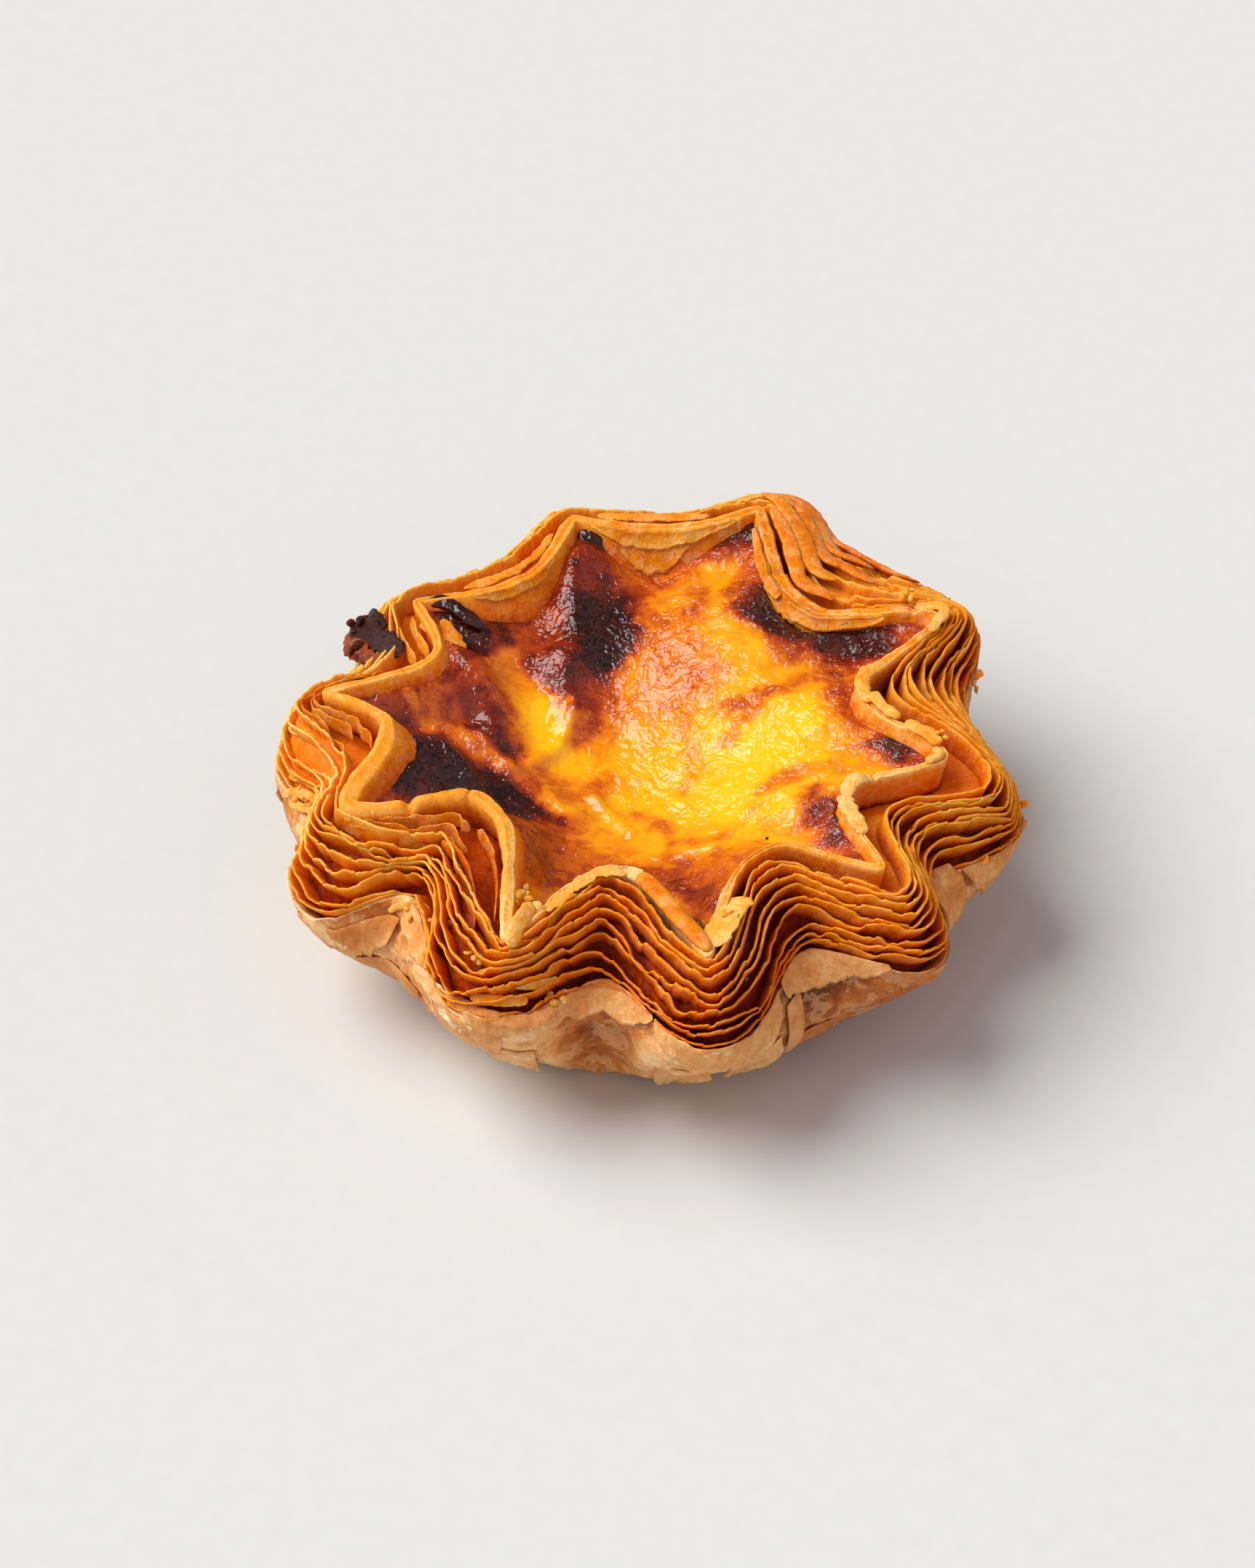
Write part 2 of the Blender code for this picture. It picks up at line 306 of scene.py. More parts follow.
class Piece:
    """Gathers closed surfaces with their values at each point, then makes one mesh of them."""

    def __init__(self, name, slot):
        self.name, self.slot = name, slot
        self.points, self.faces, self.values, self.count = [], [], {}, 0

    def add(self, points, face_sets, **values):
        """Adds a closed surface. Its faces are turned round if the volume they enclose is negative."""
        volume = 0
        for faces in face_sets:
            for i in range(1, faces.shape[1] - 1):
                a, b, c = points[faces[:, 0]], points[faces[:, i]], points[faces[:, i + 1]]
                volume += np.einsum("ij,ij->", a, np.cross(b, c))
        for faces in face_sets:
            turned = faces[:, ::-1] if volume < 0 else faces
            self.faces.append(turned + self.count)
        for name in set(self.values) | set(values):
            given = np.broadcast_to(np.asarray(values.get(name, 0.0), float), len(points))
            self.values.setdefault(name, [np.zeros(self.count)]).append(given)
        self.points.append(points)
        self.count += len(points)

    def add_ring(self, points, **values):
        """Adds a tube that closes on itself both ways, from points by column and by profile."""
        flat = {name: np.broadcast_to(v, points.shape[:2]).ravel() for name, v in values.items()}
        faces = grid_faces(points.shape[0], points.shape[1], True, True)
        self.add(points.reshape(-1, 3), [faces], **flat)

    def add_bowl(self, points, first, last, **values):
        """Adds a grid round the axis, closed at both ends by a fan round a pole point."""
        rows, columns = points.shape[:2]
        flat = {}
        for name, v in values.items():
            spread = np.broadcast_to(v, (rows, columns))
            flat[name] = np.concatenate([spread.ravel(), [spread[:, 0].mean(), spread[:, -1].mean()]])
        u = np.arange(rows)
        after = (u + 1) % rows
        poles = rows * columns
        start = np.stack([after * columns, u * columns, np.full(rows, poles)], 1)
        last_column = columns - 1
        end = np.stack([u * columns + last_column, after * columns + last_column,
                        np.full(rows, poles + 1)], 1)
        joined = np.concatenate([points.reshape(-1, 3), [first, last]])
        self.add(joined, [grid_faces(rows, columns, True, False), start, end], **flat)

    def add_tube(self, points, **values):
        """Adds an open-ended tube, from points by ring and by place round it, with both ends capped."""
        rows, columns = points.shape[:2]
        flat = {}
        for name, v in values.items():
            spread = np.broadcast_to(v, (rows, columns))
            flat[name] = np.concatenate([spread.ravel(), [spread[0].mean(), spread[-1].mean()]])
        v = np.arange(columns)
        after = (v + 1) % columns
        poles = rows * columns
        start = np.stack([v, after, np.full(columns, poles)], 1)
        last_row = (rows - 1) * columns
        end = np.stack([last_row + after, last_row + v, np.full(columns, poles + 1)], 1)
        joined = np.concatenate([points.reshape(-1, 3), [points[0].mean(0), points[-1].mean(0)]])
        self.add(joined, [grid_faces(rows, columns, False, True), start, end], **flat)

    def make(self, material):
        """Makes the mesh, in metres and in its place, with a float attribute for each value."""
        mesh = bpy.data.meshes.new(self.name)
        points = np.concatenate(self.points)
        points[:, :2] += AXIS
        faces = [face for part in self.faces for face in part.tolist()]
        mesh.from_pydata((points * MM).tolist(), [], faces)
        for name, parts in self.values.items():
            layer = mesh.attributes.new(name, "FLOAT", "POINT")
            layer.data.foreach_set("value", np.concatenate(parts).astype(np.float32))
        mesh.shade_smooth()
        mesh.materials.append(material)
        made = bpy.data.objects.new(self.name, mesh)
        bpy.context.scene.collection.objects.link(made)
        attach(made, "root")
        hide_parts(self.slot)
        return made


# ---- Materials ----


def linear(red, green, blue):
    """A colour from 0 to 255 as it shows on a screen, as the shader's linear values."""
    share = np.array([red, green, blue]) / 255
    return (*np.where(share <= 0.04045, share / 12.92, ((share + 0.055) / 1.055) ** 2.4), 1)


class Nodes:
    """A material and short ways to add and join its nodes."""

    def __init__(self, name):
        self.material = bpy.data.materials.new(name)
        self.material.use_nodes = True
        self.tree = self.material.node_tree
        self.shader = self.tree.nodes["Principled BSDF"]
        self.place = self.add("ShaderNodeTexCoord").outputs["Object"]

    def add(self, kind, **settings):
        node = self.tree.nodes.new(kind)
        for name, value in settings.items():
            setattr(node, name, value)
        return node

    def join(self, source, target):
        self.tree.links.new(source, target)

    def feed(self, socket, value):
        """Joins a socket to another one, or sets it to a number or colour."""
        if isinstance(value, bpy.types.NodeSocket):
            self.join(value, socket)
        else:
            socket.default_value = value

    def value_of(self, name):
        """One of the float attributes that Piece.make gives the mesh."""
        return self.add("ShaderNodeAttribute", attribute_name=name).outputs["Fac"]

    def math(self, how, a, b=0.0, c=0.0):
        """One step of arithmetic on numbers or sockets."""
        node = self.add("ShaderNodeMath", operation=how)
        for socket, value in zip(node.inputs, (a, b, c)):
            self.feed(socket, value)
        return node.outputs[0]

    def noise(self, size_mm, detail=3.0, roughness=0.55, distortion=0.0, place=None):
        """Noise from 0 to 1 whose lumps are about size_mm across."""
        node = self.add("ShaderNodeTexNoise")
        self.join(place or self.place, node.inputs["Vector"])
        for name, value in (("Scale", 1 / (size_mm * MM)), ("Detail", detail), ("Roughness", roughness),
                            ("Distortion", distortion)):
            node.inputs[name].default_value = value
        return node.outputs["Fac"]

    def stretched(self, x, y, z):
        """The place with its three numbers each multiplied, to draw a pattern out one way."""
        node = self.add("ShaderNodeVectorMath", operation="MULTIPLY")
        self.join(self.place, node.inputs[0])
        node.inputs[1].default_value = (x, y, z)
        return node.outputs[0]

    def cells(self, size_mm):
        """The distance to the nearest of points strewn about size_mm apart, in that unit."""
        node = self.add("ShaderNodeTexVoronoi", feature="F1")
        self.join(self.place, node.inputs["Vector"])
        node.inputs["Scale"].default_value = 1 / (size_mm * MM)
        return node.outputs["Distance"]

    def ramp(self, value, stops):
        """A colour read from (position, colour) stops."""
        node = self.add("ShaderNodeValToRGB")
        elements = node.color_ramp.elements
        while len(elements) < len(stops):
            elements.new(0.5)
        for element, (position, colour) in zip(elements, stops):
            element.position, element.color = position, colour
        self.join(value, node.inputs["Fac"])
        return node.outputs["Color"]

    def range(self, value, low, high):
        """0 at low and 1 at high, with an eased slope between them."""
        node = self.add("ShaderNodeMapRange", interpolation_type="SMOOTHSTEP")
        for socket, given in zip(node.inputs, (value, low, high, 0.0, 1.0)):
            self.feed(socket, given)
        return node.outputs[0]

    def stirred(self, value, pattern, amount):
        """The value with a pattern's distance from a half added, times the amount."""
        return self.math("MULTIPLY_ADD", self.math("SUBTRACT", pattern, 0.5), amount, value)

    def blend(self, share, a, b):
        """Colour a at share 0 and b at share 1."""
        node = self.add("ShaderNodeMix", data_type="RGBA", blend_type="MIX")
        self.feed(node.inputs[0], share)
        self.feed(node.inputs[6], a)
        self.feed(node.inputs[7], b)
        return node.outputs[2]

    def tinted(self, colour, mask, amount, other):
        """The colour with another one blended in, by a mask times the amount."""
        return self.blend(self.math("MULTIPLY", mask, amount), colour, other)

    def bump(self, height, distance_mm, strength=1.0, after=None):
        """The normal of a relief, on top of the relief before it."""
        node = self.add("ShaderNodeBump")
        node.inputs["Strength"].default_value = strength
        node.inputs["Distance"].default_value = distance_mm * MM
        self.join(height, node.inputs["Height"])
        if after is not None:
            self.join(after, node.inputs["Normal"])
        return node.outputs["Normal"]

    def finish(self, colour, roughness, normal, **sockets):
        """Joins what is made to the shader, and sets its other sockets by name."""
        self.feed(self.shader.inputs["Base Color"], colour)
        self.feed(self.shader.inputs["Roughness"], roughness)
        self.join(normal, self.shader.inputs["Normal"])
        for name, value in sockets.items():
            self.shader.inputs[name.replace("_", " ").title().replace("Ior", "IOR")].default_value = value
        return self.material


def pastry_material(name, stops, glow, gloss=0.42, flake_mm=1.9, paleness=0.62):
    """Baked pastry: a ramp on the tone of each place, mottled, with paler sharp-edged flakes standing
    proud of it, darker where burnt, and finely grained.
    """
    made = Nodes(name)
    tone = made.value_of("tone")
    char = made.value_of("char")
    flaky = made.value_of("flaky")
    broad = made.noise(3.6, 3.0)
    fine = made.noise(0.8, 4.0, 0.65)
    mottled = made.stirred(tone, broad, 0.36)
    mottled = made.stirred(mottled, fine, 0.34)
    fibre = made.noise(0.45, 3.0, 0.6, 0.3, made.stretched(1.0, 1.0, 0.14))
    mottled = made.stirred(mottled, fibre, 0.34)
    colour = made.ramp(mottled, stops)
    edges = made.noise(flake_mm, 5.0, 0.66, 0.5)
    flakes = made.math("MULTIPLY", made.range(edges, 0.50, 0.525), flaky)
    colour = made.tinted(colour, flakes, paleness, linear(246, 204, 146))
    cracks = made.math("MULTIPLY", made.range(edges, 0.435, 0.415), flaky)
    colour = made.tinted(colour, cracks, 0.40, linear(150, 76, 30))
    specks = made.range(made.cells(1.5), 0.11, 0.03)
    colour = made.tinted(colour, specks, 0.45, linear(116, 54, 20))
    burnt = made.ramp(char, ((0.0, linear(190, 92, 28)), (0.5, linear(104, 40, 16)),
                             (1.0, linear(38, 16, 12))))
    scorched = made.range(made.stirred(char, fine, 0.5), 0.08, 0.55)
    colour = made.blend(scorched, colour, burnt)
    normal = made.bump(made.noise(0.30, 3.0, 0.6), 0.06, 0.7)
    normal = made.bump(made.noise(1.3, 4.0, 0.65), 0.26, 0.7, normal)
    normal = made.bump(fibre, 0.16, 0.7, normal)
    normal = made.bump(flakes, 0.14, 0.9, normal)
    rough_now = made.math("MULTIPLY_ADD", fine, 0.24, gloss - 0.10)
    return made.finish(colour, rough_now, normal, subsurface_weight=glow, subsurface_scale=0.0016,
                       subsurface_radius=(1.0, 0.38, 0.10), specular_ior_level=0.12)


LEAF_STOPS = (
    (0.02, linear(134, 34, 2)),
    (0.20, linear(184, 68, 3)),
    (0.42, linear(218, 102, 5)),
    (0.62, linear(234, 138, 18)),
    (0.82, linear(240, 164, 56)),
    (1.0, linear(247, 200, 122)),
)
SKIN_STOPS = (
    (0.02, linear(116, 58, 24)),
    (0.25, linear(180, 100, 46)),
    (0.45, linear(210, 128, 60)),
    (0.65, linear(233, 168, 100)),
    (0.85, linear(249, 209, 158)),
    (1.0, linear(250, 226, 180)),
)


def custard_material():
    """Baked custard under a glassy skin: a ramp on how toasted each place is, with small bubbles where
    it is browned. The skin has wrinkles of its own, which break up its reflections.
    """
    made = Nodes("caramelised_custard")
    toast = made.value_of("toast")
    wrinkled = made.value_of("wrinkled")
    bubbly = made.value_of("bubbly")
    broad = made.noise(2.2, 4.0, 0.6, 0.8)
    fine = made.noise(0.5, 3.0, 0.6)
    value = made.stirred(toast, broad, 0.24)
    value = made.stirred(value, fine, 0.08)
    patches = made.range(made.noise(3.0, 6.0, 0.68, 0.4), 0.49, 0.55)
    value = made.stirred(value, patches, 0.10)
    colour = made.ramp(value, (
        (0.03, linear(246, 182, 8)),
        (0.18, linear(240, 162, 6)),
        (0.34, linear(228, 134, 6)),
        (0.48, linear(204, 100, 7)),
        (0.60, linear(170, 62, 10)),
        (0.72, linear(122, 32, 11)),
        (0.84, linear(66, 18, 9)),
        (1.0, linear(36, 13, 10)),
    ))
    dots = made.range(made.cells(0.85), 0.24, 0.12)
    bubbles = made.math("MULTIPLY", dots, bubbly)
    colour = made.tinted(colour, bubbles, 0.45, linear(150, 60, 12))
    normal = made.bump(made.noise(1.0, 3.0, 0.5), 0.16, 0.7)
    normal = made.bump(bubbles, 0.10, 0.8, normal)
    long_way = made.stretched(1.25, 0.80, 1.0)
    wrinkles = made.math("MULTIPLY", made.noise(3.0, 2.0, 0.40, 1.4, long_way), wrinkled)
    creases = made.math("MULTIPLY", made.noise(1.5, 2.0, 0.5, 1.6), wrinkled)
    skin = made.bump(creases, 0.34, 1.0, made.bump(wrinkles, 1.0, 1.0))
    skin = made.bump(made.math("MULTIPLY", made.noise(0.8, 1.0, 0.5, 0.6), bubbly), 0.36, 1.0, skin)
    pits = made.range(made.cells(2.6), 0.055, 0.085)
    skin = made.bump(pits, 0.05, 0.6, skin)
    made.join(skin, made.shader.inputs["Coat Normal"])
    rough_now = made.math("MULTIPLY_ADD", fine, 0.16, 0.20)
    return made.finish(colour, rough_now, normal, subsurface_weight=0.10, subsurface_scale=0.0016,
                       subsurface_radius=(1.0, 0.6, 0.12), coat_weight=0.90, coat_roughness=0.02,
                       coat_ior=1.50, specular_ior_level=0.0)


# ---- The pastry leaves ----

LEAVES = 10  # the outermost is the top of the outer skin
LEAF_LEAN_IN = np.radians(8)
LEAF_LEAN_OUT = np.radians(46)
LEAF_HALF = 0.15

# How strongly the leaves are crimped, in millimetres
CRIMP = by_direction((0, 0.12), (60, 0.20), (120, 0.15), (185, 0.20), (200, 0.42), (240, 0.42),
                     (262, 0.34), (285, 0.16), (300, 0.10), (330, 0.10))
# How much lighter or darker than elsewhere the leaves are, by direction round the rim
LEAF_TINT = by_direction((5, -0.04), (40, -0.04), (75, 0.0), (130, 0.06), (160, 0.12), (172, 0.20),
                         (190, 0.20), (205, 0.06), (225, 0.06), (250, -0.08), (270, -0.14),
                         (290, -0.12), (305, -0.06), (325, 0.02), (345, -0.04))
# Where every other leaf stays low
SPARSE = by_direction((156, 0.0), (164, 1.0), (194, 1.0), (201, 0.0))
# How far the gaps between the leaves are filled, where the leaves are baked together
FILL = by_direction((34, 0.0), (44, 0.8), (70, 0.8), (78, 0.0), (155, 0.0), (166, 0.85), (196, 0.85),
                    (204, 0.0))
# Where the lip's top is a round roll
ROLLED = by_direction((166, 0.0), (177, 1.0), (243, 1.0), (250, 0.0))
# Half the lip's thickness: a rolled band at the left, a bare leaf's edge at the right
LIP_HALF = by_direction((0, 0.36), (11, 0.42), (27, 0.50), (46, 0.85), (69, 0.70), (88, 0.85),
                        (103, 0.62), (122, 0.62), (143, 0.55), (154, 0.50), (174, 0.62), (180, 0.80),
                        (188, 1.15), (195, 1.15), (202, 0.90), (221, 0.84), (240, 0.80), (247, 0.62),
                        (258, 0.60), (270, 0.66), (281, 0.56), (290, 0.40), (303, 0.30), (318, 0.34),
                        (333, 0.34), (350, 0.38))
# How much lighter the lip is, and how much of it flakes
LIP_TINT = by_direction((0, 0.10), (46, -0.08), (69, -0.04), (88, -0.02), (122, -0.04), (154, 0.02),
                        (171, 0.06), (183, 0.06), (204, 0.0), (221, -0.02), (246, 0.10), (256, 0.22),
                        (276, 0.22), (284, 0.16), (300, -0.06), (333, 0.16))
LIP_FLAKY = by_direction((0, 0.3), (46, 0.5), (69, 0.45), (88, 0.35), (122, 0.1), (183, 0.2), (221, 0.12),
                         (243, 0.25), (252, 0.9), (278, 0.9), (286, 0.6), (298, 0.2), (333, 0.4))
# How light the floor of an open pocket is, by direction round the rim
POCKET_TONE = by_direction((0, 0.40), (40, 0.30), (150, 0.52), (185, 0.60), (200, 0.38), (221, 0.27),
                           (250, 0.24), (300, 0.30), (318, 0.50), (340, 0.62))
RIM_XY = on_rim(crest(0.4)[0], all_round(0.0))  # where noise round the rim is read


def leaf_places():
    """Shares of the crest for the leaves: gaps of uneven width, added up and scaled to fit between the
    pocket and the outermost leaf, so that no leaf crosses the next.
    """
    gaps = []
    for number in range(1, LEAVES):
        where = RIM_XY + UP * 31.0 * number
        gaps.append(np.exp(0.95 * (noise(where, 10.0, 5) + 0.5 * noise(where, 4.0, 6))))
    walked = np.cumsum(gaps, axis=0) / np.sum(gaps, axis=0)
    return mix(POCKET, 1.0, np.concatenate([np.zeros((1, COLUMNS)), walked]))


LEAF_PLACE = leaf_places()


def leaf_crest(number):
    """The line of a leaf's top, with its ragged and chipped height, before crimping."""
    radius, height = crest(LEAF_PLACE[number - 1])
    wander = RIM_XY + UP * 13.0 * number
    chips = smooth(0.30, 0.62, noise(wander, 3.4, 14))
    notches = smooth(0.30, 0.55, noise(wander, 1.0, 15))
    height = height + 0.40 * noise(wander, 7.0, 11) + 0.16 * noise(wander, 1.4, 12)
    height = height + 0.09 * noise(wander, 0.6, 13) - 1.5 * SPARSE * (number % 2 == 0)
    return on_rim(radius, height - 0.75 * chips - 0.28 * notches)


def crimps(number, depth):
    """How far a leaf stands out at a depth below its top: waves of three sizes that fade downwards."""
    where = RIM_XY + UP * (2.1 * number + 0.5 * depth)
    waves = noise(where, 4.4, 21) + 0.45 * noise(where, 2.0, 22)
    flutter = noise(RIM_XY + UP * (9.0 * number), 1.2, 23)
    return CRIMP * 1.5 * waves + 0.13 * flutter * max(0.0, 1 - depth / 2.0)


# Down a leaf's face: depth, and share of half the thickness
LEAF_FACE = ((4.6, 1), (3.0, 1), (1.7, 1), (0.8, 1), (0.28, 0.95), (0.06, 0.6))
LEAF_PROFILE = LEAF_FACE + tuple((depth, -side) for depth, side in LEAF_FACE[::-1])
# Tone down a leaf's face by depth, partly the pastry's own tone and partly painted light: lightest at the
# top edge as a painted highlight, and darker lower down as painted shade in the gaps between the leaves
LEAF_TONE_DEPTHS = (0.0, 0.3, 0.9, 1.8, 3.0, 4.6)
LEAF_TONES_WITH_PAINTED_SHADE = (0.76, 0.66, 0.56, 0.43, 0.26, 0.10)


def add_leaf(piece, number):
    """One pastry sheet: its crest line moved down and inwards by the lean, thick along the normal."""
    line = leaf_crest(number)
    square = outward(round_off(line, 0.6))
    place = LEAF_PLACE[number - 1]
    lean = mix(LEAF_LEAN_IN, LEAF_LEAN_OUT, place)[:, None]
    down = -ACROSS * np.sin(lean) - UP * np.cos(lean)
    half = LEAF_HALF * (1 + 0.30 * noise(RIM_XY + UP * 7.0 * number, 2.0, 31))
    rows, tones = [], []
    tint = LEAF_TINT - 0.12 * smooth(0.5, 1.0, place) + 0.08 * noise(RIM_XY + UP * 3.0 * number, 8.0, 33)
    for i, (depth, side) in enumerate(LEAF_PROFILE):
        wedge = 0.07 * min(depth, 2.2) * (side > 0)
        out = crimps(number, depth) + side * half + wedge
        rows.append(line + down * depth + square * out[:, None])
        streak = np.stack([ALONG / 5.0, all_round(i * 1.7), all_round(number * 5.3)], 1)
        # darker with depth below the leaf's top: painted shade in the gaps between the leaves
        tones.append(np.interp(depth, LEAF_TONE_DEPTHS, LEAF_TONES_WITH_PAINTED_SHADE) + tint + 0.07 * noise(streak, 1.0, 34))
    piece.add_ring(np.stack(rows, 1), tone=np.stack(tones, 1), char=0.0, flaky=0.12)


# ---- The lip, and the pastry under the leaves ----

# Where the lip is broken across: direction, half the width in degrees, depth in millimetres
LIP_BREAKS = ((31.0, 0.5, 0.5), (58.0, 0.7, 0.5), (209.6, 0.45, 0.7), (216.0, 0.3, 0.2),
              (251.0, 0.5, 0.6), (270.4, 0.4, 0.8), (327.6, 0.5, 0.8), (340.0, 0.4, 0.5))
# The broken piece that stands higher: its first and last direction, with how soon each end rises
RAISED_FROM, RAISED_TO, RAISED_BY = (209.6, 209.9), (214, 217), 0.35


def lip_line():
    """The middle of the lip's top, with its breaks, and the level vectors square to it."""
    height = LIP_Z + 0.30 * noise(RIM_XY, 8.0, 41) + 0.12 * noise(RIM_XY, 1.8, 42)
    height = height + 0.06 * noise(RIM_XY, 0.7, 40) - 0.1
    for deg, width, depth in LIP_BREAKS:
        height = height - depth * np.exp(-(((DEG % 360 - deg) / width) ** 2))
    height = height + RAISED_BY * smooth(*RAISED_FROM, DEG) * (1 - smooth(*RAISED_TO, DEG))
    line = on_rim(LIP_R, height)
    half = LIP_HALF * (1 + 0.20 * noise(RIM_XY, 5.0, 43) + 0.10 * noise(RIM_XY, 1.2, 44))
    return line, outward(round_off(line, 1.2)), half


LIP_LINE, LIP_SQUARE, LIP_NOW = lip_line()


def lip_face(share):
    """The lip's inner face at a share of the way down to the custard, in and down by share."""
    inwards, down = INSET * np.maximum(share, 0) ** 1.25, DROP * share
    return LIP_LINE - ACROSS * inwards[:, None] - UP * down[:, None] - LIP_SQUARE * LIP_NOW[:, None]


# The lip's inner face and the near half of its top: share of the way down to the custard, share of the half
# thickness moved outwards, and tone, which is lightest at the top as a painted highlight and darker down
# towards the custard as painted shade
LIP_INNER = ((1.35, 0.0, 0.24), (1.02, 0.0, 0.32), (0.80, -0.02, 0.44), (0.55, -0.02, 0.54),
             (0.32, 0.0, 0.60), (0.12, 0.02, 0.70), (0.0, 0.20, 0.80), (0.05, 0.55, 0.74))
# The far half of its top and its outer face: depth below the top, that depth where the lip is rolled, share
# of the half thickness moved outwards, tone, which falls down the outer face into the pocket as painted
# shade, and tone added where it is rolled
LIP_OUTER = ((0.26, -0.34, 0.0, 0.58, 0.08), (0.08, -0.26, 0.40, 0.74, 0.0), (0.20, 0.22, 0.86, 0.74, 0.0),
             (1.0, 1.0, 1.0, 0.60, 0.0), (2.2, 2.2, 0.9, 0.54, 0.0), (3.8, 3.8, 0.7, 0.42, 0.0),
             (6.0, 6.0, 0.4, 0.20, 0.0))
TORN_DEPTH = 0.16  # how far the inner face steps in where it flakes


def add_lip(piece):
    """The thick inner band: a rounded top, an outer face down to the pocket, and its inner face."""
    rows, tones = [], []
    for share, side, tone in LIP_INNER:
        rows.append(lip_face(all_round(share)) + LIP_SQUARE * (LIP_NOW * side)[:, None])
        tones.append(all_round(tone))
    lean = np.sin(LEAF_LEAN_IN)
    for depth, rolled_depth, side, tone, rolled_tone in LIP_OUTER:
        down = mix(depth, rolled_depth, ROLLED)[:, None]
        rows.append(LIP_LINE - (ACROSS * lean + UP) * down + LIP_SQUARE * (LIP_NOW * side)[:, None])
        tones.append(tone + rolled_tone * ROLLED)
    points = np.stack(rows, 1)
    inner = len(LIP_INNER)
    number = np.arange(points.shape[1])
    bulge = 0.12 * noise(points, 3.0, 45) + 0.06 * noise(points, 1.1, 46)
    bulge = bulge * np.where(number < inner, -1, 1)
    torn = LIP_FLAKY[:, None] * smooth(0.0, 0.08, rough(points, 2.4, 49))
    points = points + LIP_SQUARE[:, None, :] * bulge[..., None]
    points[:, :inner] -= LIP_SQUARE[:, None, :] * (TORN_DEPTH * torn[:, :inner])[..., None]
    streak = np.stack(np.broadcast_arrays(ALONG[:, None] / 6.0, number * 1.3, 0.0), -1)
    tone = np.stack(tones, 1) + LIP_TINT[:, None] + 0.06 * noise(points, 4.0, 47)
    tone = tone + 0.09 * noise(streak, 1.0, 48)
    piece.add_ring(points, tone=tone + 0.12 * torn, char=0.0, flaky=LIP_FLAKY[:, None])


DARK_TONE = 0.03  # of pastry that no light reaches
CAVITY_RADIUS = 20.0  # of the cavity's floor
POCKET_DEPTH = 4.6  # of the core below the leaf tops where there is no open pocket


def add_core(piece):
    """The pastry under the leaves: its top is the crest moved down, less so across an open pocket,
    which it floors with a hollow.
    """
    rows, tones = [], []

    def add_row(radius, height, tone):
        rows.append(on_rim(radius, height))
        tones.append(tone + all_round(0.0))

    # The floor's tone is dark where it lies deep under the leaf tops and where a pocket is narrow, and
    # lighter where the gaps between the leaves are filled: painted shade in the gaps and pockets
    for place, depth in ((-0.02, 5.6), (0.0, 5.2)):
        radius, height = crest(all_round(place))
        add_row(radius - depth * 0.14, height - depth, 0.1)
    wide = smooth(0.14, 0.30, POCKET)
    for share in (0.2, 0.4, 0.6, 0.8, 0.95):
        radius, height = crest(POCKET * share)
        depth = mix(POCKET_DEPTH, 4.9 - 2.5 * share**1.5, wide)
        add_row(radius - depth * 0.2, height - depth, mix(0.06, POCKET_TONE * (0.72 + 0.28 * share), wide))
    depth = 3.0 - 1.9 * FILL
    for share in (0.12, 0.3, 0.5, 0.7, 0.9, 1.0):
        place = mix(POCKET, 1.0, share)
        radius, height = crest(place)
        lean = mix(LEAF_LEAN_IN, LEAF_LEAN_OUT, place)
        add_row(radius - depth * np.sin(lean), height - depth * np.cos(lean), 0.08 + 0.54 * FILL)
    radius, height = np.hypot(rows[-1][:, 0], rows[-1][:, 1]), rows[-1][:, 2]
    for share in (0.7, 0.3):
        plain = mix(BASE_RADIUS, WALL_TOP_RADIUS, share**WALL_CURVE) - 2.6
        add_row(np.minimum(plain, radius), height * share + 1.0, DARK_TONE)
    add_row(all_round(21.0), all_round(2.2), DARK_TONE)
    meet_r = LIP_R - LIP_HALF_THICKNESS - INSET
    for share in (0.3, 0.65, 0.9):
        inner = mix(CAVITY_RADIUS, meet_r, share**0.75)
        add_row(inner + 0.8, mix(3.0, LIP_Z - DROP - 1.5, share), DARK_TONE)
    points = np.stack(rows, 1)
    points += ACROSS[:, None, :] * (0.12 * noise(points, 2.0, 51))[..., None]
    points += UP * (0.20 * noise(points, 4.0, 52) + 0.06 * noise(points, 1.2, 53))[..., None]
    piece.add_ring(points, tone=np.stack(tones, 1) + 0.08 * noise(points, 3.0, 54), char=0.0, flaky=0.05)


# ---- The outer skin ----

# How much lighter or darker than elsewhere the skin is, by direction round the rim
SKIN_TINT = by_direction((0, -0.04), (90, 0.04), (190, 0.14), (205, 0.08), (217, 0.08), (228, 0.18),
                         (238, 0.30), (250, 0.32), (257, 0.24), (271, 0.18), (284, 0.18),
                         (297, -0.04), (306, -0.08), (320, -0.16), (335, -0.10), (345, -0.16))
# The hollow below the front dent: where it is, how deep, and how much painted shade darkens its middle
HOLLOW = round_off(by_direction((255, 0.0), (259, 1.0), (266.5, 1.0), (270.5, 0.0)), 0.8)
HOLLOW_DEPTH = 2.6
HOLLOW_SHADE = 0.34
WANDER = RIM_XY + UP * 13.0 * LEAVES
SKIN_TOP = EDGE_Z + 0.36 * noise(WANDER, 7.0, 11) + 0.20 * noise(WANDER, 1.5, 12)
SKIN_TOP = SKIN_TOP + 0.12 * noise(WANDER, 0.7, 13)


def hollowed(share):
    """How deep the hollow below the front dent is, from 0 to 1, at shares of the wall's height."""
    return smooth(0.02, 0.30, share) * (1 - smooth(0.68, 0.92, share))


